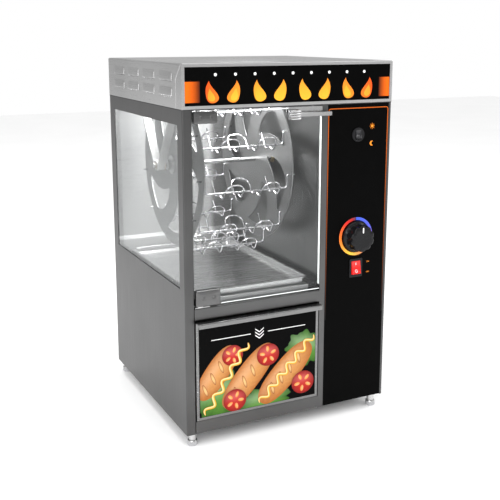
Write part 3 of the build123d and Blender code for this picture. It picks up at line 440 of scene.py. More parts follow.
# Drive and wiring behind the control panel: a gearmotor on a plate with three posts, a thermostat and
# a cream terminal block. They are bought in and hidden by the panels.
motor_paint = plain_paint("motor_grey", (0.22, 0.23, 0.24), 0.45)
zinc = brushed_metal("zinc_plate", 0.6, 0.35, "z", tint=(1.0, 0.98, 0.92))
dress(motor_paint, "gearmotor")
dress(zinc, "motor_mount")
dress(plain_paint("terminal_cream", (0.72, 0.66, 0.52), 0.5), "terminal_block")
dress(plain_paint("thermostat_shell", (0.6, 0.58, 0.54), 0.5), "thermostat")


# Drip tray: pressed from thin bright stainless sheet with a flat rim and soft corners.
# It stands on the chamber floor under the wheel. Its section runs from the foot over the rim to inside.
tray_steel = brushed_metal("tray_steel", 0.50, 0.26, "x", streak=0.06)
tray_low, tray_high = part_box("drip_tray")
tray_middle = ((tray_low + tray_high) / 2)[:]
half_x, half_y = (tray_high - tray_low)[0] / 2, (tray_high - tray_low)[1] / 2
tray_foot, tray_rim = tray_low[2] - tray_middle[2], tray_high[2] - tray_middle[2]
tray_steps = [(0.007, tray_foot), (0.0055, tray_foot + 0.0006), (0.005, tray_foot + 0.002),
              (0.005, tray_rim - 0.0014), (0.0044, tray_rim - 0.0010), (0.0004, tray_rim - 0.0010),
              (0.0, tray_rim - 0.0006), (0.0004, tray_rim), (0.0052, tray_rim), (0.0060, tray_rim - 0.0006),
              (0.0064, tray_rim - 0.0014), (0.0066, tray_foot + 0.0030), (0.0072, tray_foot + 0.0016),
              (0.0085, tray_foot + 0.0012)]
tray = stepped_form("pressed_tray", rounded_outline(half_x, half_y, 0.013, 10), tray_steps,
                    facing(tray_middle, "top"), tray_steel, "tray", sharp=50.0)
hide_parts("drip_tray")


# Door: a 5 mm pane of toughened glass with ground edges, held at its hinge corners by two steel
# clamps with screws, with a bright channel and a ridged grip along its upper edge.
door_glass = window_glass("door_glass", (0.955, 0.96, 0.96), 0.02)
clamp_steel = brushed_metal("clamp_steel", 0.13, 0.3, "x", streak=0.05, cloud=0.06)
bright_steel = brushed_metal("bright_trim_steel", 0.5, 0.22, "x", streak=0.05)
dress(door_glass, "door_glass")
dress(bright_steel, "door_top_channel")
dress(clip_steel, "door_pivots", "door_catch")

# The pale strips along the door glass's right edge, top and bottom are partly the frosted tone of the ground
# edges and partly painted highlight.
ground_edge_and_highlight = mottled("ground_glass_edge_and_highlight", 400.0, [(0.3, (0.84, 0.90, 0.88)), (0.7, (0.94, 0.97, 0.96))],
                     Roughness=0.25)
pane_middle, pane_front, pane_rear = -0.181, -0.1835, -0.1785
door_left, door_right, door_low, door_high = -0.1745, 0.0550, 0.244, 0.556
stepped_form("door_glass_edge", rounded_outline(0.00235, (door_high - door_low) / 2 - 0.0102, 0.0008, 4),
             [(0.0, -0.0006), (0.0, 0.0), (0.0004, 0.0002)],
             facing((door_right - 0.0002, pane_middle, (door_low + door_high) / 2 - 0.002), "right"),
             ground_edge_and_highlight, "door")
for name, across, half_length, z in (("bottom", -0.0375, 0.0920, door_low + 0.0008),
                                     ("top", -0.0700, 0.0620, door_high - 0.0008)):
    stepped_form(f"door_glass_{name}_arris", rounded_outline(half_length, 0.0007, 0.0005, 4),
                 [(0.0003, -0.0002), (0.0, 0.0), (0.0003, 0.0002)], facing((across, pane_front, z), "front"),
                 ground_edge_and_highlight, "door")
plate_steps = [(0.0006, 0.0), (0.0, 0.0003), (0.0, 0.0022), (0.0003, 0.0028), (0.0010, 0.0030)]
screw_profile = [(0, 0), (0.0030, 0), (0.0030, 0.0006), (0.0024, 0.0012), (0.0012, 0.0013), (0.0012, 0.0007),
                 (0, 0.0007)]
for name, z_low, z_high, reach, core_z in (("upper_door_clamp", 0.537, door_high, 0.040, door_high - 0.007),
                                           ("lower_door_clamp", door_low, 0.270, 0.043, door_low + 0.007)):
    clamp_z = (z_low + z_high) / 2
    outline = rounded_outline(reach / 2, (z_high - z_low) / 2, 0.0022)
    for side, y, way in (("front", pane_front, "front"), ("rear", pane_rear, "back")):
        plate = stepped_form(f"{name}_{side}", outline, plate_steps,
                             facing((door_left + reach / 2, y, clamp_z), way), clamp_steel, "door")
    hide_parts(name)
    stepped_form(f"{name}_core", rounded_outline(0.0103, 0.0069, 0.001), [(0.0, -0.0026), (0.0, 0.0026)],
                 facing((-0.1642, pane_middle, core_z), "front"), clamp_steel, "door")
    for share in (0.30, 0.74):
        turned(f"{name}_screw_{int(share * 100)}", screw_profile,
               facing((door_left + reach * share, pane_front - 0.0028, clamp_z), "front"), clamp_steel,
               "door", 24)


# Handle: a grip of four rounded ribs, milled from bar, with a flat bright bar that reaches past the
# door's edge. It is screwed through the glass behind the channel.
grip_low, grip_high, grip_bevel = -0.0085, 0.0090, 0.0008
grip_top, grip_height, grip_depth, groove, ribs = 0.553, 0.016, 0.012, 0.0017, 4
rib = np.linspace(0, ribs, 97)
rib_depth = grip_depth - groove * (1 - np.abs(np.sin(np.pi * rib)) ** 0.5)
rib_z = grip_top - grip_height * rib / ribs
profile = np.concatenate([np.stack([-rib_depth, rib_z], 1), [[0.0, grip_top - grip_height], [0.0, grip_top]]])
profile_middle = np.array([-grip_depth / 2, grip_top - grip_height / 2])
across = np.array([grip_low, grip_low, grip_low + grip_bevel, grip_high - grip_bevel, grip_high, grip_high])
shrink = np.array([0.0, 0.94, 1.0, 1.0, 0.94, 0.0])
section = profile_middle + (profile - profile_middle)[None] * shrink[:, None, None]
grip_points = np.concatenate([np.broadcast_to(across[:, None, None], (*section.shape[:2], 1)),
                              section + np.array([pane_front, 0.0])], 2)
grip = surface("handle_grip", grip_points, bright_steel, "door")
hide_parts("door_handle")
bar = stepped_form("handle_bar", rounded_outline(0.0300, 0.0035, 0.0012),
                   [(0.0006, 0.0), (0.0, 0.0004), (0.0, 0.0034), (0.0006, 0.0040)],
                   facing((0.0375, pane_front - 0.008, 0.545), "front"), bright_steel, "door")


# Bun drawer: a folded steel box on plain runners, with a brushed front whose upper edge is bent
# out to a lip for the fingers, and a glossy printed plate glued to it.
box_steel = brushed_metal("drawer_box_steel", 0.5, 0.34, "y", streak=0.05, metallic=0.7)
dress(box_steel, "drawer_box", "drawer_runners")
drawer_steel = brushed_metal("drawer_front_steel", 0.20, 0.28, "x")
dress(drawer_steel, "drawer_front")


def printed_gloss(name):
    """Printed film: the colour is painted on each piece's own points, under a clear gloss with fine dots."""
    add, finish = new_material(name)
    ink = add("ShaderNodeAttribute", attribute_name="ink")
    dots = mapped(add, object_noise(add, 900.0), 0.88, 1.1)
    shade = add("ShaderNodeVectorMath", [(0, ink.outputs["Color"]), ("Scale", dots)], operation="SCALE")
    sockets = {"Roughness": 0.16, "Specular IOR Level": 0.2}
    return finish(add("ShaderNodeBsdfPrincipled", [("Base Color", shade.outputs[0])], **sockets))


def inked(name, mesh, paint, body):
    """A printed piece, with its colours kept as an attribute of its points."""
    attribute = mesh.attributes.new("ink", "FLOAT_COLOR", "POINT")
    attribute.data.foreach_set("color", paint.astype(np.float32).ravel())
    mesh.update()
    return attach(name, mesh, print_film, body)


def print_patch(name, flat, colours, place, body, closed=(False, False)):
    """A printed shape: a grid of (across, up, out), in one colour or with a colour at each of its points."""
    mesh = bpy.data.meshes.new(name)
    mesh.from_pydata(place(flat).reshape(-1, 3).tolist(), [], grid_faces(*flat.shape[:2], closed))
    paint = np.ones((*flat.shape[:2], 4))
    paint[..., :3] = np.clip(colours, 0, 1)
    return inked(name, mesh, paint, body)


def laid(across, up, out):
    """Points of a flat shape, from how far across and up they are and how far all stand out."""
    return np.stack([across, up, np.full(across.shape, out)], -1)


def beside(path):
    """The unit direction square to a flat path at each of its points."""
    heading = np.gradient(path, axis=0)
    heading = heading / np.linalg.norm(heading, axis=1, keepdims=True)
    return np.stack([-heading[:, 1], heading[:, 0]], 1)


print_film = printed_gloss("printed_film")
deep_black = (0.0018, 0.0018, 0.0018)
picture_base = plain_paint("picture_black", deep_black, 0.2, **{"Specular IOR Level": 0.03})
dress(picture_base, "drawer_picture")
picture_place = facing((-0.0604, -0.185, 0.12955), "front")
picture_half = np.array([0.1087, 0.0773])
first_out, layer_step, layer = 0.00004, 0.00003, 0


def picture_patch(name, points, colours, closed=(False, False)):
    """A printed shape on the drawer's picture, kept within its edges and laid over the shapes before it."""
    global layer
    layer += 1
    points = np.clip(points, -picture_half, picture_half)
    flat = laid(points[..., 0], points[..., 1], first_out + layer_step * layer)
    return print_patch(name, flat, colours, picture_place, "drawer", closed)


def food_shape(name, centre, size, tilt, core, rim, wave=(0.0, 1, 0.0, 1), light=0.07, power=2.0, rings=14,
               count=72):
    """A rounded shape whose radius waves with the angle, coloured from core to rim under a soft light."""
    share = np.linspace(0, 1, rings)[:, None]
    angle = np.linspace(0, 2 * np.pi, count, endpoint=False)[None]
    bulge = (np.abs(np.cos(angle)) ** power + np.abs(np.sin(angle)) ** power) ** (-1 / power)
    radius = share * bulge * (1 + wave[0] * np.sin(wave[1] * angle) + wave[2] * np.sin(wave[3] * angle + 1.3))
    along, aside = radius * np.cos(angle), radius * np.sin(angle)
    turn = np.radians(tilt)
    x = centre[0] + along * size[0] * np.cos(turn) - aside * size[1] * np.sin(turn)
    z = centre[1] + along * size[0] * np.sin(turn) + aside * size[1] * np.cos(turn)
    mix = np.clip(share ** 2.2 + 0 * angle, 0, 1)[..., None]
    glow = light * np.exp(-((along + 0.1) ** 2 * 1.5 + (aside - 0.35) ** 2 * 7))
    speckle = 1 + 0.10 * np.sin(37 * along + 5 * np.sin(23 * aside)) * share
    colours = (np.array(core) * (1 - mix) + np.array(rim) * mix) * speckle[..., None] + glow[..., None]
    return picture_patch(name, np.stack([x, z], 2), colours, (False, True))


def squeezed_stroke(name, start, end, waves):
    """A stroke of mustard: its middle line swings to and fro, and its colour rounds it across."""
    swing, width, colour = 0.006, 0.0052, (0.72, 0.36, 0.03)
    start, end = np.array(start), np.array(end)
    along = np.linspace(0, 1, 160)[:, None]
    run = (end - start) / np.linalg.norm(end - start)
    side = np.array([-run[1], run[0]])
    middle = start + (end - start) * along + side * swing * np.sin(2 * np.pi * waves * along)
    across = np.linspace(-1, 1, 7)[None, :, None]
    taper = np.sqrt(np.clip(1 - np.abs(2 * along - 1) ** 12, 0.02, 1))
    points = middle[:, None] + beside(middle)[:, None] * (across * width / 2 * taper[:, None])
    shine = 0.35 * np.exp(-((across - 0.3) / 0.35) ** 2)
    return picture_patch(name, points, np.array(colour) * (0.75 + 0.25 * (1 - across ** 2)) + shine)


crust, crumb = (0.33, 0.10, 0.016), (0.52, 0.24, 0.07)
toasted, scored = (0.22, 0.05, 0.008), (0.68, 0.42, 0.17)
leaf, leaf_edge = (0.07, 0.20, 0.018), (0.02, 0.08, 0.006)
tomato, tomato_edge = (0.42, 0.012, 0.006), (0.20, 0.004, 0.003)
seed_core, seed_rim = (0.72, 0.32, 0.08), (0.60, 0.12, 0.03)
leaves = (((-0.072, -0.044), (0.046, 0.040), 20, (0.08, 9, 0.05, 17)),
          ((0.088, 0.012), (0.036, 0.030), -15, (0.09, 8, 0.05, 15)),
          ((0.012, -0.070), (0.046, 0.026), 5, (0.08, 10, 0.05, 19)))
for number, (centre, size, tilt, wave) in enumerate(leaves, 1):
    food_shape(f"print_leaf_{number}", centre, size, tilt, leaf, leaf_edge, wave, 0.12)
rolls = (((-0.078, -0.004), (0.052, 0.022), 52), ((-0.020, -0.020), (0.066, 0.024), 48),
         ((0.050, -0.026), (0.066, 0.025), 44))
for number, (centre, size, tilt) in enumerate(rolls, 1):
    food_shape(f"print_roll_{number}", centre, size, tilt, crumb, crust, power=2.4)
for roll, (centre, size, tilt) in enumerate(rolls):
    heading = np.array([np.cos(np.radians(tilt)), np.sin(np.radians(tilt))])
    for mark in (-0.6, -0.2, 0.2, 0.6):
        place = centre + 0.058 * mark * heading
        food_shape(f"print_score_{roll}_{int(mark * 10 + 6)}", place, (0.012, 0.0032), tilt + 60, scored,
                   toasted, light=0.0, rings=5, count=24)
slices = ((-0.050, 0.022, 0.019), (0.016, 0.012, 0.021), (0.084, -0.050, 0.022), (-0.046, -0.058, 0.021))
for number, (x, z, radius) in enumerate(slices):
    food_shape(f"print_tomato_{number}", (x, z), (radius, radius * 0.94), 0, tomato, tomato_edge, light=0.06)
    for seed in range(5):
        angle = seed * 2 * np.pi / 5 + 0.4 * number
        centre = (x + radius * 0.52 * np.cos(angle), z + radius * 0.5 * np.sin(angle))
        food_shape(f"print_seeds_{number}_{seed}", centre, (radius * 0.26, radius * 0.15), np.degrees(angle),
                   seed_core, seed_rim, light=0.1, rings=4, count=20)
squeezed_stroke("print_mustard_1", (-0.100, -0.074), (-0.022, 0.040), 5)
squeezed_stroke("print_mustard_2", (0.000, -0.072), (0.104, 0.034), 6)
mark_out = 0.0002
wing_x, wing_z = np.array([-0.008, 0.0, 0.008]), np.array([0.004, -0.002, 0.004])
for number in range(3):
    rise = 0.058 - 0.0055 * number
    flat = laid(np.stack([wing_x, wing_x]), np.stack([wing_z + rise, wing_z + rise - 0.0018]), mark_out)
    print_patch(f"print_chevron_{number}", flat, 0.85, picture_place, "drawer")
for number, side in enumerate((-1, 1)):
    flat = laid(*np.meshgrid(side * np.array([0.016, 0.088]), [0.0545, 0.0533]), mark_out)
    print_patch(f"print_rule_{number}", flat, 0.8, picture_place, "drawer")


# Control panel: a black coated sheet with a thin orange border line that fades towards the foot, and
# printed signs: a ring from cold to hot round the dial, a sun, a moon and the marks of the mains switch.
panel_black = plain_paint("panel_black", deep_black, 0.3, bump=0.02, **{"Specular IOR Level": 0.02})
dress(panel_black, "control_panel")
panel_low, panel_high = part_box("control_panel")
panel_face = facing((0, front, 0), "front")
corner, inset, half_line = 0.004, 0.0016, 0.0007
x0, x1, z0, z1, full_z = panel_low[0] + inset, panel_high[0] - inset, 0.185, 0.551, 0.50
border_corners = [np.array(p) for p in ((x0, z0), (x0, z1), (x1, z1), (x1, z0))]
border_path = rounded_path(border_corners, (corner, corner), 8)
border_path = np.concatenate([np.linspace(border_path[0], border_path[1], 60)[:-1], border_path[1:-1],
                              np.linspace(border_path[-2], border_path[-1], 60)])
aside = half_line * beside(border_path)
sides = np.stack([border_path + aside, border_path - aside], 1)
strength = np.clip((border_path[:, 1] - z0) / (full_z - z0), 0, 1)[:, None, None] ** 1.3
ink = np.array((0.50, 0.095, 0.008)) * strength + np.array((0.003, 0.003, 0.003)) * (1 - strength)
print_patch("panel_border", laid(sides[..., 0], sides[..., 1], 0.00008), ink, panel_face, "cabinet")

knob_x, knob_z = 0.1269, 0.3288
angle = np.linspace(0, 2 * np.pi, 121)
ring_radius = np.linspace(0.0288, 0.0338, 4)[:, None]
ring_stops = np.radians([0, 60, 110, 160, 200, 250, 320, 345, 360])
ring_inks = np.array([(0.05, 0.12, 0.75), (0.10, 0.12, 0.70), (0.32, 0.10, 0.55), (0.80, 0.30, 0.10),
                      (0.95, 0.55, 0.05), (0.90, 0.25, 0.03), (0.80, 0.04, 0.03), (0.45, 0.02, 0.02),
                      (0.03, 0.03, 0.10)])
ring_ink = np.stack([np.interp(angle, ring_stops, channel) for channel in ring_inks.T], 1)
flat = laid(knob_x + ring_radius * np.sin(angle), knob_z + ring_radius * np.cos(angle), 0.00010)
print_patch("dial_ring", flat, ring_ink, panel_face, "cabinet")

orange = (0.88, 0.26, 0.02)
sign_out = 0.00012
sign_x, sun_z, moon_z = 0.1545, 0.5194, 0.4900


def small_sign(name, centre, radius_of, count=60):
    """A small printed shape about a centre, its radius a function of the angle."""
    angle = np.linspace(0, 2 * np.pi, count + 1)
    radius = np.linspace(0, 1, 3)[:, None] * radius_of(angle)
    flat = laid(centre[0] + radius * np.cos(angle), centre[1] + radius * np.sin(angle), sign_out)
    return print_patch(name, flat, orange, panel_face, "cabinet")


small_sign("sun_disc", (sign_x, sun_z), lambda a: 0.0024)
for ray in range(8):
    turn = ray * np.pi / 4
    centre = (sign_x + 0.0042 * np.cos(turn), sun_z + 0.0042 * np.sin(turn))

    def ray_radius(a, turn=turn):
        return 0.0011 / np.sqrt(np.cos(a - turn) ** 2 + 6 * np.sin(a - turn) ** 2)

    small_sign(f"sun_ray_{ray}", centre, ray_radius, 24)
moon_radius, horn = 0.0042, 2.2
hollow_radius, hollow_share = 0.0034, 0.72
moon = np.linspace(-horn, horn, 40)
outer_x, outer_z = moon_radius * np.cos(moon), moon_radius * np.sin(moon)
hollow_turn = np.cos(moon * hollow_share) - np.cos(horn * hollow_share)
hollow_x = moon_radius * np.cos(horn) + hollow_radius * 0.95 * hollow_turn
hollow_z = moon_radius * np.sin(horn) * np.sin(moon * hollow_share) / np.sin(horn * hollow_share)
flat = laid(sign_x - np.stack([outer_x, hollow_x]), moon_z + np.stack([outer_z, hollow_z]), sign_out)
print_patch("moon_sign", flat, orange, panel_face, "cabinet")


def flat_text(name, words, height, centre):
    """Small printed marks from the plain built-in letters, made a mesh and centred."""
    curve = bpy.data.curves.new(name, "FONT")
    curve.body = words
    curve.size = height * 1.4
    holder = bpy.data.objects.new(name + "_curve", curve)
    bpy.context.scene.collection.objects.link(holder)
    bpy.context.view_layer.update()
    mesh = bpy.data.meshes.new_from_object(holder.evaluated_get(bpy.context.evaluated_depsgraph_get()))
    bpy.data.objects.remove(holder)
    points = np.zeros(len(mesh.vertices) * 3)
    mesh.vertices.foreach_get("co", points)
    points = points.reshape(-1, 3)
    points[:, :2] += np.array(centre) - (points[:, :2].min(0) + points[:, :2].max(0)) / 2
    points[:, 2] = sign_out
    mesh.vertices.foreach_set("co", panel_face(points).ravel())
    mesh.materials.clear()
    return inked(name, mesh, np.tile([*orange, 1.0], len(points)), "cabinet")


flat_text("mark_on", "ON", 0.0026, (0.1530, 0.2807))
flat_text("mark_off", "OFF", 0.0026, (0.1535, 0.2620))


# Dial: a glossy black moulded knob with a skirt and ten finger flutes, pushed on a steel spindle.
# A white line is inlaid on its face.
knob_black = plain_paint("knob_black", (0.006, 0.006, 0.007), 0.2, bump=0.0, **{"Specular IOR Level": 0.2})
dress(axle_steel, "thermostat_spindle")
knob_back = front - 0.001
knob_place = facing((knob_x, knob_back, knob_z), "front")
angle = np.linspace(0, 2 * np.pi, 160, endpoint=False)
knob_section = np.array([(0.0, 0.0004, 0), (0.0268, 0.0, 0), (0.0275, 0.0006, 0), (0.0275, 0.0028, 0),
                         (0.0262, 0.0048, 0), (0.0240, 0.0060, 0.4), (0.0235, 0.0068, 1), (0.0235, 0.0196, 1),
                         (0.0231, 0.0212, 1), (0.0222, 0.0222, 0.85), (0.0205, 0.0228, 0.45),
                         (0.0150, 0.0225, 0), (0.0, 0.0223, 0)])
knob_radius, knob_height, flute_share = knob_section.T[..., None]
flute_count, flute_depth = 10, 0.0021
flute = 0.5 + 0.5 * np.cos(flute_count * angle)
knob_grid = knob_radius - flute_depth * flute_share * flute ** 2
knob_points = np.stack([knob_grid * np.cos(angle), knob_grid * np.sin(angle), knob_height + 0 * angle], 2)
knob = surface("dial_knob", knob_place(knob_points), knob_black, "knob", sharp=50.0)
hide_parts("temperature_knob")
white_inlay = plain_paint("white_inlay", (0.85, 0.85, 0.83), 0.35)
stepped_form("dial_pointer", rounded_outline(0.0011, 0.0050, 0.0010, 5),
             [(0.0, -0.0008), (0.0, 0.0), (0.0003, 0.00015)],
             facing((knob_x, knob_back - 0.02268, knob_z + 0.0152), "front"), white_inlay, "knob")


# Round light switch: a black moulded rocker in a round bezel, snapped into a 20 mm hole.
# The mains switch below it is a lit red rocker in a rectangular bezel.
switch_black = plain_paint("switch_black", (0.008, 0.008, 0.009), 0.35, **{"Specular IOR Level": 0.2})
rocker_black = plain_paint("rocker_black", (0.014, 0.014, 0.016), 0.22, **{"Specular IOR Level": 0.4})
dress(switch_black, "light_switch_housing", "mains_switch_housing")
light_centre, mains_centre = (0.1259, 0.5059), (0.1278, 0.2724)
light_half, mains_half = (0.0055, 0.0075), (0.0090, 0.0120)
red_plastic = mottled("red_rocker_plastic", 120.0,
                      [(0.3, (0.576, 0.0096, 0.008)), (0.7, (0.72, 0.012, 0.010))], 3.0,
                      glow=0.2, Roughness=0.2)


def key_dip(up, half_height):
    """How far a rocker's face stands out at a height: it dips in its middle."""
    return 0.0070 - 0.0024 * np.cos(np.pi / 2 * np.clip(up / half_height, -1, 1)) ** 1.2


def key_place(points, out, centre):
    """Points on a rocker at rest, from (across, up) and how far they stand out, tipped about its pins."""
    tilt, pin_y = np.radians(-9.0), -0.181
    turned_y = -out * np.cos(tilt) - points[..., 1] * np.sin(tilt)
    turned_z = -out * np.sin(tilt) + points[..., 1] * np.cos(tilt)
    return np.stack([centre[0] + points[..., 0], pin_y + turned_y, centre[1] + turned_z], 2)


def rocker_key(name, node, centre, half_size, material, body):
    """A rocker key: a rounded outline carried out to a face that dips in its middle, tilted on its pins."""
    line, _ = rounded_outline(*half_size, 0.0012, 6)
    share = np.array([0.0, 1.0, 1.0, 1.0, 0.97, 0.92, 0.75, 0.5, 0.25, 0.0])
    rear = np.array([-0.0040, -0.0040, 0.0010, 0, 0, 0, 0, 0, 0, 0])
    face = np.array([0, 0, 0, 0.82, 0.96, 1.0, 1.0, 1.0, 1.0, 1.0])
    points = share[:, None, None] * line[None]
    out = rear[:, None] + face[:, None] * key_dip(points[..., 1], half_size[1])
    key = surface(name, key_place(points, out, centre), material, body, sharp=40.0)
    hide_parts(node)


rocker_key("light_key_cap", "light_rocker", light_centre, light_half, rocker_black, "light_key")
rocker_key("mains_key_cap", "mains_rocker", mains_centre, mains_half, red_plastic, "mains_key")
turn = np.linspace(0, 2 * np.pi, 33)
ring_radius = np.array([[0.0017], [0.0024]])
off_ring = np.stack([ring_radius * np.sin(turn), ring_radius * 1.15 * np.cos(turn) - 0.0066], 2)
on_bar = np.stack(np.meshgrid((-0.0005, 0.0005), np.linspace(0.0044, 0.0086, 6)), 2)
for name, shape in (("mains_mark_on", on_bar), ("mains_mark_off", off_ring)):
    placed = key_place(shape, key_dip(shape[..., 1], mains_half[1]) + 0.00008, mains_centre)
    print_patch(name, placed, 0.85, lambda points: points, "mains_key")


# Hood: one stainless sheet folded down at both sides with a mitred front edge, and rows of louvres
# pressed out of each side; a plate closes its back.
hood_steel = brushed_metal("hood_brushed_steel", 0.52, 0.30, "y", streak=0.02, cloud=0.06)
bend, slit = 0.0025, 0.0003
side_z = np.unique(np.append(np.arange(seam, hood_top - bend, 0.00125), hood_top - bend))
rows_z = (seam + 0.019, seam + 0.043)
for row in rows_z:
    side_z = side_z[np.abs(side_z - row) > 0.0006]
    side_z = np.sort(np.concatenate([side_z, [row, row - slit]]))
turn = np.linspace(0, np.pi / 2, 7)[1:-1]
top_x = np.linspace(left + bend, 0, 16)
bend_x, bend_z = left + bend - bend * np.cos(turn), hood_top - bend + bend * np.sin(turn)
half_profile = np.stack([np.concatenate([np.full(len(side_z), left), bend_x, top_x]),
                         np.concatenate([side_z, bend_z, np.full(16, hood_top)])], 1)
profile = np.concatenate([half_profile, half_profile[-2::-1] * [-1, 1]])
louvre_y = front + 0.069 + 0.080 * np.arange(4)
louvre_half, louvre_height, louvre_depth = 0.028, 0.0125, 0.0029
end_steps = louvre_half * np.array([0.9, 0.94, 0.97, 0.985, 0.995, 1.0])
columns_y = np.concatenate([np.linspace(front, back, 150), (louvre_y[:, None] + end_steps).ravel(),
                            (louvre_y[:, None] - end_steps).ravel()])
columns_y = np.unique(np.round(columns_y, 6))
y = np.repeat(columns_y[None], len(profile), 0)
z = np.repeat(profile[:, 1:], len(columns_y), 1)
x = np.repeat(profile[:, :1], len(columns_y), 1)
scoop = np.zeros(x.shape)
for row in rows_z:
    rise = (z - row) / louvre_height
    form = np.where((rise >= 0) & (rise <= 1), np.sqrt(1 - np.clip(rise, 0, 1) ** 2), 0)
    for middle in louvre_y:
        share = np.clip(1 - np.abs((y - middle) / louvre_half) ** 8, 0, 1) ** 0.5
        scoop = np.maximum(scoop, louvre_depth * share * form)
on_side = np.abs(np.abs(x) - right) < 1e-6
x = x + np.sign(x) * scoop * on_side
mitre = np.where(z < hood_top - 1e-4, np.minimum(0.025, hood_top - z) + 0.0007, 0)
y = np.maximum(y, front + mitre)
mouth = np.zeros((len(profile) - 1, len(columns_y) - 1), bool)
low, high = np.minimum(z[:-1, :-1], z[1:, :-1]), np.maximum(z[:-1, :-1], z[1:, :-1])
near = np.min(np.abs((y[:-1, :-1] + y[1:, 1:])[..., None] / 2 - louvre_y), axis=2) < louvre_half - 0.0015
for row in rows_z:
    mouth |= near & (np.abs(high - row) < 1e-5) & (np.abs(low - row + slit) < 1e-5)
hood = surface("hood_sheet", np.stack([x, y, z], 2), hood_steel, "cabinet", closed=(False, False),
               keep=~mouth, outward=False, sharp=40.0)
wall = hood.modifiers.new("wall", "SOLIDIFY")
wall.thickness = 0.0012
wall.offset = -1.0
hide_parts("top_hood")
plate_outline = rounded_outline(right - 0.0014, (hood_top - seam) / 2 - 0.0008, 0.001)
hood_back = stepped_form("hood_back_plate", plate_outline, [(0.0, -0.0012), (0.0, -0.0002), (0.0004, 0.0)],
                         facing((0, back, (seam + hood_top) / 2 - 0.0006), "back"), hood_steel, "cabinet")


# Sign: a glossy black acrylic plate in a folded steel frame over the door. It is printed with a row
# of flames between two warm blocks, under a row of small white dots.
frame_steel = brushed_metal("sign_frame_steel", 0.52, 0.3, "x", streak=0.03, cloud=0.06)
sign_black = plain_paint("sign_black", deep_black, 0.2, bump=0.0, **{"Specular IOR Level": 0.02})
dress(frame_steel, "sign_frame")
dress(sign_black, "sign_panel")
sign_face = facing((0, -0.1828, 0), "front")
ink_out, row_low, row_high, dot_z = 0.0001, 0.5695, 0.6015, 0.6115
for number, (x0, x1) in enumerate(((-0.1872, -0.1620), (0.1872, 0.1660))):
    grid_x, grid_z = np.meshgrid(np.linspace(x0, x1, 24), np.linspace(row_low, row_high, 6), indexing="xy")
    fade = np.clip((grid_x - x0) / (x1 - x0), 0, 1)[..., None] ** 1.4
    colours = np.array((0.82, 0.13, 0.004)) * (1 - fade) + np.array((0.03, 0.004, 0.002)) * fade
    print_patch(f"sign_block_{number}", laid(grid_x, grid_z, ink_out), colours, sign_face, "cabinet")
flame_count, flame_spread, flame_z = 8, 0.288, 0.5852
flame_width, flame_half, lean_width = 0.0150, 0.0172, 0.0035
share = np.linspace(0, 1, 8)[:, None]
angle = np.linspace(0, 2 * np.pi, 73)[None]
for number in range(flame_count):
    middle = flame_spread * (number / (flame_count - 1) - 0.5)
    for step, (size, lift, warm) in enumerate(((1.0, 0.0, 0.0), (0.58, -0.0045, 0.5))):
        width = flame_width * size * np.sin(angle) * np.sin(angle / 2) ** 1.6
        height = flame_half * size * np.cos(angle)
        lean = lean_width * size * np.sin(2.2 * height / flame_half) * (1 if number % 2 else -1)
        flat = laid(middle + share * (width + lean), flame_z + lift + share * height,
                    ink_out + 0.00005 * step)
        across = (flat[..., 0] / 0.16) ** 2
        rise = np.clip((flat[..., 1] - row_low) / (row_high - row_low), 0, 1)
        hot = np.clip(1.05 - across + warm, 0, 1)[..., None] * (1 - 0.35 * rise[..., None])
        colours = np.array((0.72, 0.035, 0.006)) * (1 - hot) + np.array((0.90, 0.40, 0.03)) * hot
        print_patch(f"sign_flame_{number}_{step}", flat, colours, sign_face, "cabinet")
angle = np.linspace(0, 2 * np.pi, 25)
radius = np.array([[0.0], [0.0024]])
for number in range(9):
    flat = laid(-0.136 + 0.034 * number + radius * np.cos(angle), dot_z + radius * np.sin(angle), ink_out)
    print_patch(f"sign_dot_{number}", flat, 0.8, sign_face, "cabinet")


# Cable gland: a moulded black gland with its nut, through the back panel.
dress(plain_paint("gland_black", (0.02, 0.02, 0.021), 0.4), "cable_gland")


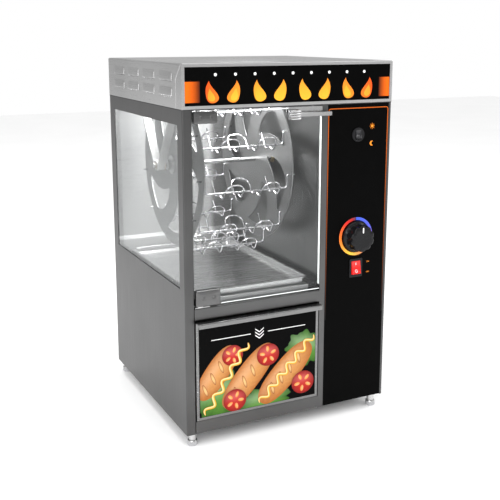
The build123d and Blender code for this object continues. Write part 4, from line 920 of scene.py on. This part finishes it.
# Studio: a plain pale floor that runs out of sight, a bright sky of even tone that shines less in mirrors,
# and large soft lights. Three small lights in the chamber stand for the glow of its lamp and elements.
reach = 6
floor_mesh = bpy.data.meshes.new("studio_floor")
floor_mesh.from_pydata([(-reach, -reach, 0), (reach, -reach, 0), (reach, reach, 0), (-reach, reach, 0)], [],
                       [(0, 1, 2, 3)])
floor_paint = plain_paint("studio_floor", (0.95, 0.95, 0.95), 0.8, mottle=0.01, size=3.0, bump=0.0)
floor_mesh.materials.append(floor_paint)
floor = bpy.data.objects.new("studio_floor", floor_mesh)
bpy.context.scene.collection.objects.link(floor)


def soft_light(name, place, aim, size, power):
    """A square area light that faces a point."""
    data = bpy.data.lights.new(name, "AREA")
    data.size = size
    data.energy = power
    light = bpy.data.objects.new(name, data)
    light.location = place
    away = np.array(place) - np.array(aim)
    yaw = np.arctan2(away[0], -away[1])
    pitch = np.arctan2(np.hypot(away[0], away[1]), away[2])
    light.rotation_euler = (pitch, 0, yaw)
    bpy.context.scene.collection.objects.link(light)


soft_light("left_softbox", (-1.9, -1.6, 1.8), (0, 0, 0.35), 1.6, 30)
soft_light("right_softbox", (1.8, -1.5, 1.5), (0, 0, 0.3), 1.2, 16)
soft_light("top_softbox", (0, 0, 2.6), (0, 0, 0), 2.0, 34)
soft_light("front_softbox", (-1.5, -2.5, 1.2), (0, 0, 0.35), 0.9, 20)
soft_light("chamber_glow", (-0.066, 0.0, 0.596), (-0.066, 0.0, 0.0), 0.16, 2.2)
soft_light("chamber_side_glow", (0.038, 0.03, 0.600), (0.038, 0.03, 0.0), 0.03, 0.4)
soft_light("chamber_front_glow", (-0.066, -0.150, 0.588), (-0.01, 0.17, 0.54), 0.10, 1.6)

world = bpy.data.worlds.new("studio_sky")
world.use_nodes = True
sky = world.node_tree.nodes["Background"]
sky.inputs["Color"].default_value = (1.0, 1.0, 1.0, 1.0)
seen_by = world.node_tree.nodes.new("ShaderNodeLightPath")
strength = world.node_tree.nodes.new("ShaderNodeMapRange")
strength.inputs["To Min"].default_value = 1.0
strength.inputs["To Max"].default_value = 0.55
world.node_tree.links.new(seen_by.outputs["Is Glossy Ray"], strength.inputs["Value"])
world.node_tree.links.new(strength.outputs[0], sky.inputs["Strength"])
bpy.context.scene.world = world
bpy.context.scene.view_settings.view_transform = "Standard"
